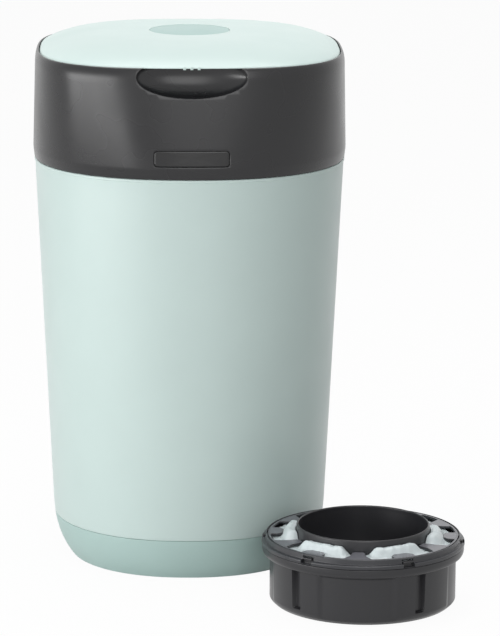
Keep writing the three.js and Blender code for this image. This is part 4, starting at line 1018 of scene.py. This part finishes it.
# %% [markdown]
# ## Springs
#
# A torsion spring is a coil with a straight leg. Geometry Nodes have a spiral for the coil, and a
# round profile swept along it gives the wire. The leg leaves along the coil's tangent.

# %% The spring tree
spring_tree, wound = sized_tree(
    "torsion spring",
    {"Radius": 2.9 * MM, "Length": 11.4 * MM, "Wire": 0.4 * MM, "Turns": 3.0, "Leg": 9.0 * MM},
)
links = {"Resolution": 24, "Rotations": wound["Turns"], "Height": wound["Length"]}
links |= {"Start Radius": wound["Radius"], "End Radius": wound["Radius"]}
coil = add(spring_tree, "GeometryNodeCurveSpiral", links)
leave = add(spring_tree, COMBINE, [wound["Radius"], 0.0, wound["Length"]])
arrive = add(spring_tree, COMBINE, [wound["Radius"], wound["Leg"], wound["Length"]])
leg = add(spring_tree, "GeometryNodeCurvePrimitiveLine", {"Start": leave, "End": arrive})
both = add(spring_tree, "GeometryNodeJoinGeometry", [coil])
spring_tree.links.new(leg.outputs[0], both.inputs[0])
links = {"Resolution": 10, "Radius": wound["Wire"]}
profile = add(spring_tree, "GeometryNodeCurvePrimitiveCircle", links)
links = {"Curve": both, "Profile Curve": profile, "Fill Caps": True}
close_tree(spring_tree, wound, add(spring_tree, "GeometryNodeCurveToMesh", links))


def spring(name, **sizes):
    """A wound spring about the Z axis, its leg along Y."""
    return grown(mesh_object(name, [], []), spring_tree, **sizes)


# %% Flap springs and pawl
AXIS_TO_Y = Matrix(((0, -1, 0, 0), (0, 0, 1, 0), (-1, 0, 0, 0), (0, 0, 0, 1)))
for number in range(1, 5):
    coil = shifted(spring("flap_coil_%d" % number), 0, 0, -5.7)
    swung(shaped(coil, AXIS_TO_Y), -FLAP_SLOPE, "Y")
    swung(shifted(coil, FLAP_REACH, 0, FLAP_LEVEL), 90 * (number - 1))
    dress(coil, "flap_%d" % number, ["flap_spring_%d" % number], STEEL)

PAWL_BOTTOM, PAWL_TOP, NOSE_AZIMUTH = 372.9, 377.9, 180.6
nose, heel = at(101.2, NOSE_AZIMUTH), at(106, NOSE_AZIMUTH)
lead = Vector((nose[0] - pawl_x, nose[1] - pawl_y)).normalized() * 2.4
arm_outline = [(pawl_x + lead.y, pawl_y - lead.x), nose, heel, (pawl_x - lead.y, pawl_y + lead.x)]
pawl = slab("pawl_moulding", arm_outline[::-1], PAWL_BOTTOM, PAWL_TOP, 0.3)
join(pawl, rod("hub", 3.4, pawl_x, pawl_y, PAWL_BOTTOM, PAWL_TOP))
cut(pawl, rod("bore", SCREW_HOLE, pawl_x, pawl_y, PAWL_BOTTOM - 5, PAWL_TOP + 5))
dress(pawl, "pawl", ["pawl"], GREY)
pin = rod("pawl_rod", 1.4, pawl_x, pawl_y, CHASSIS_BOTTOM, 381.4, 0.3)
dress(pin, "head", ["pawl_pin"], STEEL)
coil = swung(spring("pawl_coil", Radius=2.5 * MM, Length=1.8 * MM), 180)
dress(shifted(coil, pawl_x, pawl_y, PAWL_TOP + 0.7), "pawl", ["pawl_spring"], STEEL)


# %% [markdown]
# ## Screws
#
# Twelve self-tapping screws hold the head together, in three rings of four. One screw is turned
# and given a cross slot, and the repeating tree sets out each ring.

# %% Screw rings
def screws(name, head, head_height, shaft, length, head_top, reach):
    """A ring of four screws that point up, from radii, lengths and a level."""
    bottom = head_top - head_height
    outline = [(0, bottom, 0), (head, bottom, 0.6), (head, head_top, 0.2), (shaft, head_top, 0.2)]
    outline += [(shaft, head_top + length - 2, 0.5), (0, head_top + length, 0)]
    screw = spun(name, outline, steps=32)
    for turned in (0, 90):
        slot = box("slot", (-head * 0.6, -0.45, bottom - 1), (head * 0.6, 0.45, bottom + 1))
        cut(screw, swung(slot, turned))
    return in_corners(shifted(screw, reach, 0, 0))


for name, body, sizes in (
    ("chassis_screw", "head", (4, 2.6, 1.5, 18, CHASSIS_BOTTOM - 0.3, POST_REACH)),
    ("cage_screw", "head", (2.6, 1.7, 1.2, 5.5, CAGE_TOP - 2.8, CAGE_SCREW_REACH)),
    ("lid_screw", "lid", (3.6, 1.8, 1.4, 7.6, 430.7, LID_SCREW_REACH)),
):
    nodes = [name + "_%d" % i for i in range(1, 5)]
    dress(screws(name + "s", *sizes), body, nodes, STEEL)

# %% [markdown]
# ## The refill cassette
#
# The cassette is a ring-shaped drum full of folded film, with a snap-on cap. It is drawn about the
# Z axis and then stood on its place. The drum's side has wide shallow bays with a narrow slot
# between each pair, and a smooth step at each bay's edge is all that shows of them in the light.

# %% Cassette drum
DRUM_LOW, DRUM_HIGH = low_and_high("cassette_drum")
DRUM_MIDDLE = (DRUM_LOW + DRUM_HIGH) / 2
CASSETTE_PLACE = Matrix.Translation(Vector((DRUM_MIDDLE.x, DRUM_MIDDLE.y, 0)) * MM)
CASSETTE_PLACE @= Matrix.Rotation(math.radians(-97), 4, "Z")


def step_between(value, low, high):
    """0 below one value and 1 above another, with a soft step between."""
    t = max(0, min(1, (value - low) / (high - low)))
    return t * t * (3 - 2 * t)


SIDE_STARTS, OUTER_SIDE, FOOT_TOP, SIDE_TOP = 74, 75, 2, 39.7
BAY_FLOOR, SLOT_FLOOR, SLOT_BACKING, SLOT_AZIMUTH = 75.4, 72.8, 2.4, 40
BAY_EDGE, SLOT_EDGE, SLOT_FOOT, BAY_HEAD = (21, 25), (2.6, 3), (7.4, 8.6), (38.1, 39.3)


def bay_push(angle, half, z):
    """How far the drum's side stands in at a bay or a slot."""
    if half < SIDE_STARTS or not FOOT_TOP < z < SIDE_TOP:
        return 0
    below_head = 1 - step_between(z, *BAY_HEAD)
    azimuth = math.degrees(angle)
    from_bay = abs((azimuth + 45) % 90 - 45)
    from_slot = abs(abs((azimuth + 90) % 180 - 90) - SLOT_AZIMUTH)
    in_slot = step_between(z, *SLOT_FOOT) * below_head * (1 - step_between(from_slot, *SLOT_EDGE))
    if half < OUTER_SIDE:
        return -SLOT_BACKING * in_slot
    bay = (1 - step_between(from_bay, *BAY_EDGE)) * max(0, half - BAY_FLOOR) * below_head
    return -max(bay, in_slot * (half - SLOT_FLOOR))


drum_outline = [
    (49, 0, 0.3), (72, 0, 0.8), (75.3, 3, 2), (76.4, 6, 1.5),
    *[(76.4 + (z - 6) / 33.7, z, 0) for z in (7.4, 7.8, 8.2, 8.6, 22, 38.1, 38.4, 38.7, 39, 39.3)],
    (77.4, SIDE_TOP, 0.3), (80.9, 40.8, 1), (81.8, 43.2, 1.5), (81.8, 47.8, 0.8),
    (79.2, 47.8, 0.2), (79.2, 49.6, 0.4), (77, 49.6, 0.4), (77, 45.6, 0), (74.2, 43.4, 0),
    *[(74.2, z, 0) for z in (39.3, 39, 38.7, 38.4, 38.1, 22, 8.6, 7.4, 6)], (72, 2.2, 0),
    (55.3, 2.2, 0.5), (54.6, 53.3, 0), (53.8, 63.2, 0.6), (53, 64, 0.5), (52.2, 63.2, 0.5),
    (52.2, 60, 1),
]
drum = spun("drum_moulding", drum_outline, steps=480, longest=14, push=bay_push)
nose = box("nose", (77.8, -4.2, 51.4), (80.6, 4.2, 53), 0.5)
hook = join(box("hooks", (77.3, -4.2, 48.6), (78.7, 4.2, 53), 0.3), nose)
join(drum, repeated(hook, 6, first=30))
shaped(drum, CASSETTE_PLACE)
dress(drum, "cassette", ["cassette_drum"], CASSETTE)

# %% [markdown]
# ## The cap
#
# The cap's plate has a soft edge all round, also inside its six windows and on its tabs. A filled
# curve does that in one go: each outline is a spline, holes run the other way, and the curve's own
# bevel rounds every edge. The skirt with its groove is spun and joined on. The flat top gets flat
# shading and a second, lighter copy of the cap's material: a painted reflection of the room.

# %% Cap plate
CAP_TOP, CAP_UNDER = 55.3, 53.3


WINDOW_HALF = 74.8
tab = [(56.86, -4), (55.6, -4), (55.6, 4), (56.86, 4)]
tongue = [(68.8, -9.5), (64.8, -5.5), (64.8, 5.5), (68.8, 9.5)]


def turned_plan(corners, degrees):
    """Plan points, turned about the axis."""
    turn = Matrix.Rotation(math.radians(degrees), 2)
    return [tuple(turn @ Vector(place)) for place in corners]


tab_plan = []
for start in range(0, 360, 60):
    tab_plan += [*turned_plan(tab, start), at(57, start + 5), at(66, start + 5.5)]
    tab_plan += arc(WINDOW_HALF, start + 8.5, start + 22.7, 8) + turned_plan(tongue, start + 30)
    tab_plan += arc(WINDOW_HALF, start + 37.3, start + 51.5, 8)
    tab_plan += [at(66, start + 54.5), at(57, start + 55)]
window_plan = softened([(*place, 2) for place in tab_plan], most=0.45, straight=-0.8)
edge = 0.5
curve = bpy.data.curves.new("cap_plate", "CURVE")
curve.dimensions = "2D"
curve.fill_mode = "BOTH"
curve.extrude = ((CAP_TOP - CAP_UNDER) / 2 - edge) * MM
curve.bevel_depth = edge * MM
curve.bevel_resolution = 2
curve.offset = -edge * MM
for line in (arc(77, 0, 360, 240)[:-1], window_plan[::-1]):
    spline = curve.splines.new("POLY")
    spline.points.add(len(line) - 1)
    for point, (px, py) in zip(spline.points, line):
        point.co = (px * MM, py * MM, 0, 1)
    spline.use_cyclic_u = True
print("cap plate drawn with", len(window_plan), "points round its windows")

# %% Cap skirt and clip windows
plate_object = placed("cap_plate", curve)
cap = placed("cap_moulding", as_evaluated(plate_object))
bpy.data.objects.remove(plate_object)
weld = cap.modifiers.new("weld", "WELD")
weld.merge_threshold = 0.002 * MM
settled(cap)
shifted(cap, 0, 0, (CAP_TOP + CAP_UNDER) / 2)
skirt_outline = [
    (75.6, CAP_UNDER, 0), (77, CAP_UNDER, 0.3), (77, 50, 0.3), (79.5, 50, 0.3), (79.5, 48.1, 0.3),
    (82.2, 48.1, 0.4), (82.2, 51, 0.9), (79, 51.2, 0.5), (78.7, CAP_TOP, 0.6), (78, CAP_TOP, 0.2),
    (78, CAP_TOP - 1.2, 0.3), (75.8, CAP_TOP - 1.2, 0.3), (75.8, CAP_TOP, 0.4),
    (75.6, CAP_TOP, 0),
]
join(cap, spun("skirt", skirt_outline, steps=240))
clip = box("clip_windows", (76.5, -5, 48.5), (87, 5, 54.4))
cut(cap, repeated(clip, 6, first=30))
dress(shaped(cap, CASSETTE_PLACE), "cassette", ["cassette_cap"], CAP)
# The flat top faces take the lighter material: a painted reflection of the room at a grazing angle.
cap.data.materials.append(CAP_PAINTED_SHEEN)
FLAT = 0.999
for face in cap.data.polygons:
    face.use_smooth = abs(face.normal.z) < FLAT
    face.material_index = int(face.normal.z > FLAT and face.center.z > (CAP_TOP - 0.1) * MM)

# %% [markdown]
# ## Folded film
#
# Metres of thin film are pushed into the drum in tight pleats. Modelling each fold is not needed:
# a ring whose top is raised and lowered by sharp radial ridges reads the same through the windows,
# where it also swells up near the tube. The ridges are a rule on angle and radius, so Geometry
# Nodes displace them.

# %% The pleating tree
pleat_tree, folded = sized_tree(
    "film pleats",
    {"Depth": 0.9 * MM, "Pleats": 22.0, "Crumple": 1.4 * MM, "Level": 45.0 * MM, "Bulge": 7.0 * MM},
)
spot = add(pleat_tree, "GeometryNodeInputPosition")
x, y, z = add(pleat_tree, SPLIT, [spot]).outputs
turn = add(pleat_tree, MATH, [y, x], operation="ARCTAN2")
WANDER_SIZE, CREASE_SIZE, WANDER, TOP_LEVEL = 16 * MM, 11 * MM, 7.0, 52.0 * MM
SPOKE_EDGE, WINDOW_MIDDLE = math.radians(5.5), math.radians(15)
SWELL_START, SWELL_END = 60 * MM, 68 * MM
links = {"Vector": spot, "Scale": 1 / WANDER_SIZE, "Detail": 3.0}
wander = add(pleat_tree, NOISE, links)
around = add(pleat_tree, MATH, [folded["Pleats"], 1 / FULL_TURN], operation="MULTIPLY")
phase = add(pleat_tree, MATH, [turn, around], operation="MULTIPLY")
bent = add(pleat_tree, MATH, [wander, WANDER, phase], operation="MULTIPLY_ADD")
ridge = add(pleat_tree, MATH, [bent, 1.0], operation="PINGPONG")
links = {"Vector": spot, "Scale": 1 / CREASE_SIZE, "Detail": 1.5}
crease = add(pleat_tree, NOISE, links)
sunk = add(pleat_tree, MATH, [ridge, folded["Depth"]], operation="MULTIPLY")
links = [crease, folded["Crumple"], sunk]
crumpled = add(pleat_tree, MATH, links, operation="MULTIPLY_ADD")
open_top = add(pleat_tree, RANGE, [z, folded["Level"], TOP_LEVEL, 0.0, 1.0])
from_spoke = add(pleat_tree, MATH, [turn, math.radians(30)], operation="PINGPONG")
links = [from_spoke, SPOKE_EDGE, WINDOW_MIDDLE, 0.0, folded["Bulge"]]
swell = add(pleat_tree, RANGE, links, interpolation_type="SMOOTHSTEP")
flat = add(pleat_tree, COMBINE, [x, y])
reach = add(pleat_tree, "ShaderNodeVectorMath", [flat], operation="LENGTH").outputs["Value"]
links = [reach, SWELL_START, SWELL_END, 1.0, 0.0]
inward = add(pleat_tree, RANGE, links, interpolation_type="SMOOTHSTEP")
puffed = add(pleat_tree, MATH, [swell, inward], operation="MULTIPLY")
raised = add(pleat_tree, MATH, [puffed, crumpled], operation="SUBTRACT")
lifted = add(pleat_tree, MATH, [raised, open_top], operation="MULTIPLY")
offset = add(pleat_tree, COMBINE, {2: lifted})
links = {"Geometry": folded["Geometry"], "Offset": offset}
close_tree(pleat_tree, folded, add(pleat_tree, "GeometryNodeSetPosition", links))

film_outline = [(56, 2.5, 0), (70, 2.5, 0), (71.2, 6.3, 0), (71.2, 39, 1), (73.6, 43, 2)]
film_outline += [(73.6, 52, 1.5), (72, 53.2, 1), (58, 54, 3), (54.8, 52.9, 0.3), (54.9, 51, 0.3)]
film_outline.append((56, 48, 1))
film = grown(spun("film_folds", film_outline, steps=720, longest=0.9), pleat_tree)
dress(shaped(film, CASSETTE_PLACE), "cassette", ["film_pack"], FILM)

# %% [markdown]
# ## The room
#
# The object stands on a pale seamless floor. The camera sees the floor's white directly, and the
# object still drops a soft shadow on it, because only part of what the camera sees is emission.

# %% Floor and world
FLOOR_REACH, FLOOR_BACK, PAPER_GLOW, SOFT_LIGHT = 9000, 14000, 0.955, 0.21
plan = [(-FLOOR_REACH, -FLOOR_REACH), (FLOOR_REACH, -FLOOR_REACH)]
plan += [(FLOOR_REACH, FLOOR_BACK), (-FLOOR_REACH, FLOOR_BACK)]
floor = mesh_object("studio_floor", [(px, py, 0) for px, py in plan], [(0, 1, 2, 3)])
paper = bpy.data.materials.new("white seamless paper")
paper.use_nodes = True
tree = paper.node_tree
tree.nodes["Principled BSDF"].inputs["Roughness"].default_value = 0.9
ray = add(tree, "ShaderNodeLightPath").outputs
seen = add(tree, MATH, [ray["Is Camera Ray"], ray["Is Glossy Ray"]], operation="MAXIMUM")
links = {0: seen, 6: linear("#b4b4b4"), 7: linear("#f8f8f8")}
shade = add(tree, "ShaderNodeMix", links, data_type="RGBA")
tree.links.new(shade.outputs[2], tree.nodes["Principled BSDF"].inputs["Base Color"])
part = add(tree, MATH, [seen, PAPER_GLOW], operation="MULTIPLY")
glow = add(tree, "ShaderNodeEmission", {"Color": (1, 1, 1, 1), "Strength": 1.0})
links = [part, tree.nodes["Principled BSDF"], glow]
mixed = add(tree, "ShaderNodeMixShader", links)
tree.links.new(mixed.outputs[0], tree.nodes["Material Output"].inputs["Surface"])
floor.data.materials.append(paper)

world = bpy.data.worlds.new("studio")
bpy.context.scene.world = world
world.use_nodes = True
tree = world.node_tree
ray = add(tree, "ShaderNodeLightPath").outputs
seen = ray["Is Camera Ray"]
for other in ("Is Transmission Ray", "Is Glossy Ray"):
    seen = add(tree, MATH, [seen, ray[other]], operation="MAXIMUM")
strength = add(tree, RANGE, [seen, 0.0, 1.0, SOFT_LIGHT, 1.0])
tree.nodes["Background"].inputs["Color"].default_value = (1, 1, 1, 1)
tree.links.new(strength.outputs[0], tree.nodes["Background"].inputs["Strength"])
print("the world lights the object with a strength of", SOFT_LIGHT)


# %% Lamps
def softbox(name, place, aim, width, height, power):
    """A rectangular area lamp that looks at a point, in millimetres and watts."""
    lamp = bpy.data.lights.new(name, "AREA")
    lamp.shape = "RECTANGLE"
    lamp.size, lamp.size_y = width * MM, height * MM
    lamp.energy = power
    holder = placed(name, lamp)
    holder.location = Vector(place) * MM
    holder.rotation_euler = (Vector(aim) - Vector(place)).to_track_quat("-Z", "Y").to_euler()
    print(name, "at", tuple(place), "with", power, "W")


STRIP_REACH, STRIP_LEVEL, FRONT_REACH, FRONT_LEVEL = 1300, 260, 1900, 900
for azimuth, power in ((-73, 2.75), (-55, 2.75), (-38, 2.25)):
    spot = (*at(STRIP_REACH, azimuth - 90), STRIP_LEVEL)
    softbox("strip_%d" % -azimuth, spot, (0, 0, STRIP_LEVEL), 410, 320, power)
softbox("front", (*at(FRONT_REACH, -85), FRONT_LEVEL), (0, 0, FRONT_LEVEL), 900, 1200, 8.5)
softbox("overhead", (0, 200, 2200), (0, 0, 400), 1500, 1500, 28)

# %% Camera
EYE, LENS, SENSOR_WIDTH, FAR_CLIP = (-43.8, -2912, 844), 200.1, 36, 100
turned, tipped, rolled = (math.radians(angle) for angle in (1.87, 12.5, 0.3))
camera = placed("camera", bpy.data.cameras.new("camera"))
bpy.context.scene.camera = camera
camera.data.lens, camera.data.sensor_width, camera.data.clip_end = LENS, SENSOR_WIDTH, FAR_CLIP
camera.location = Vector(EYE) * MM
level = math.cos(tipped)
aim = Vector((math.sin(turned) * level, math.cos(turned) * level, -math.sin(tipped)))
roll = Matrix.Rotation(rolled, 3, "Z").to_quaternion()
camera.rotation_euler = (aim.to_track_quat("-Z", "Y") @ roll).to_euler()
bpy.context.scene.view_settings.view_transform = "Standard"
print("camera at", EYE, "with a lens of", LENS, "mm")
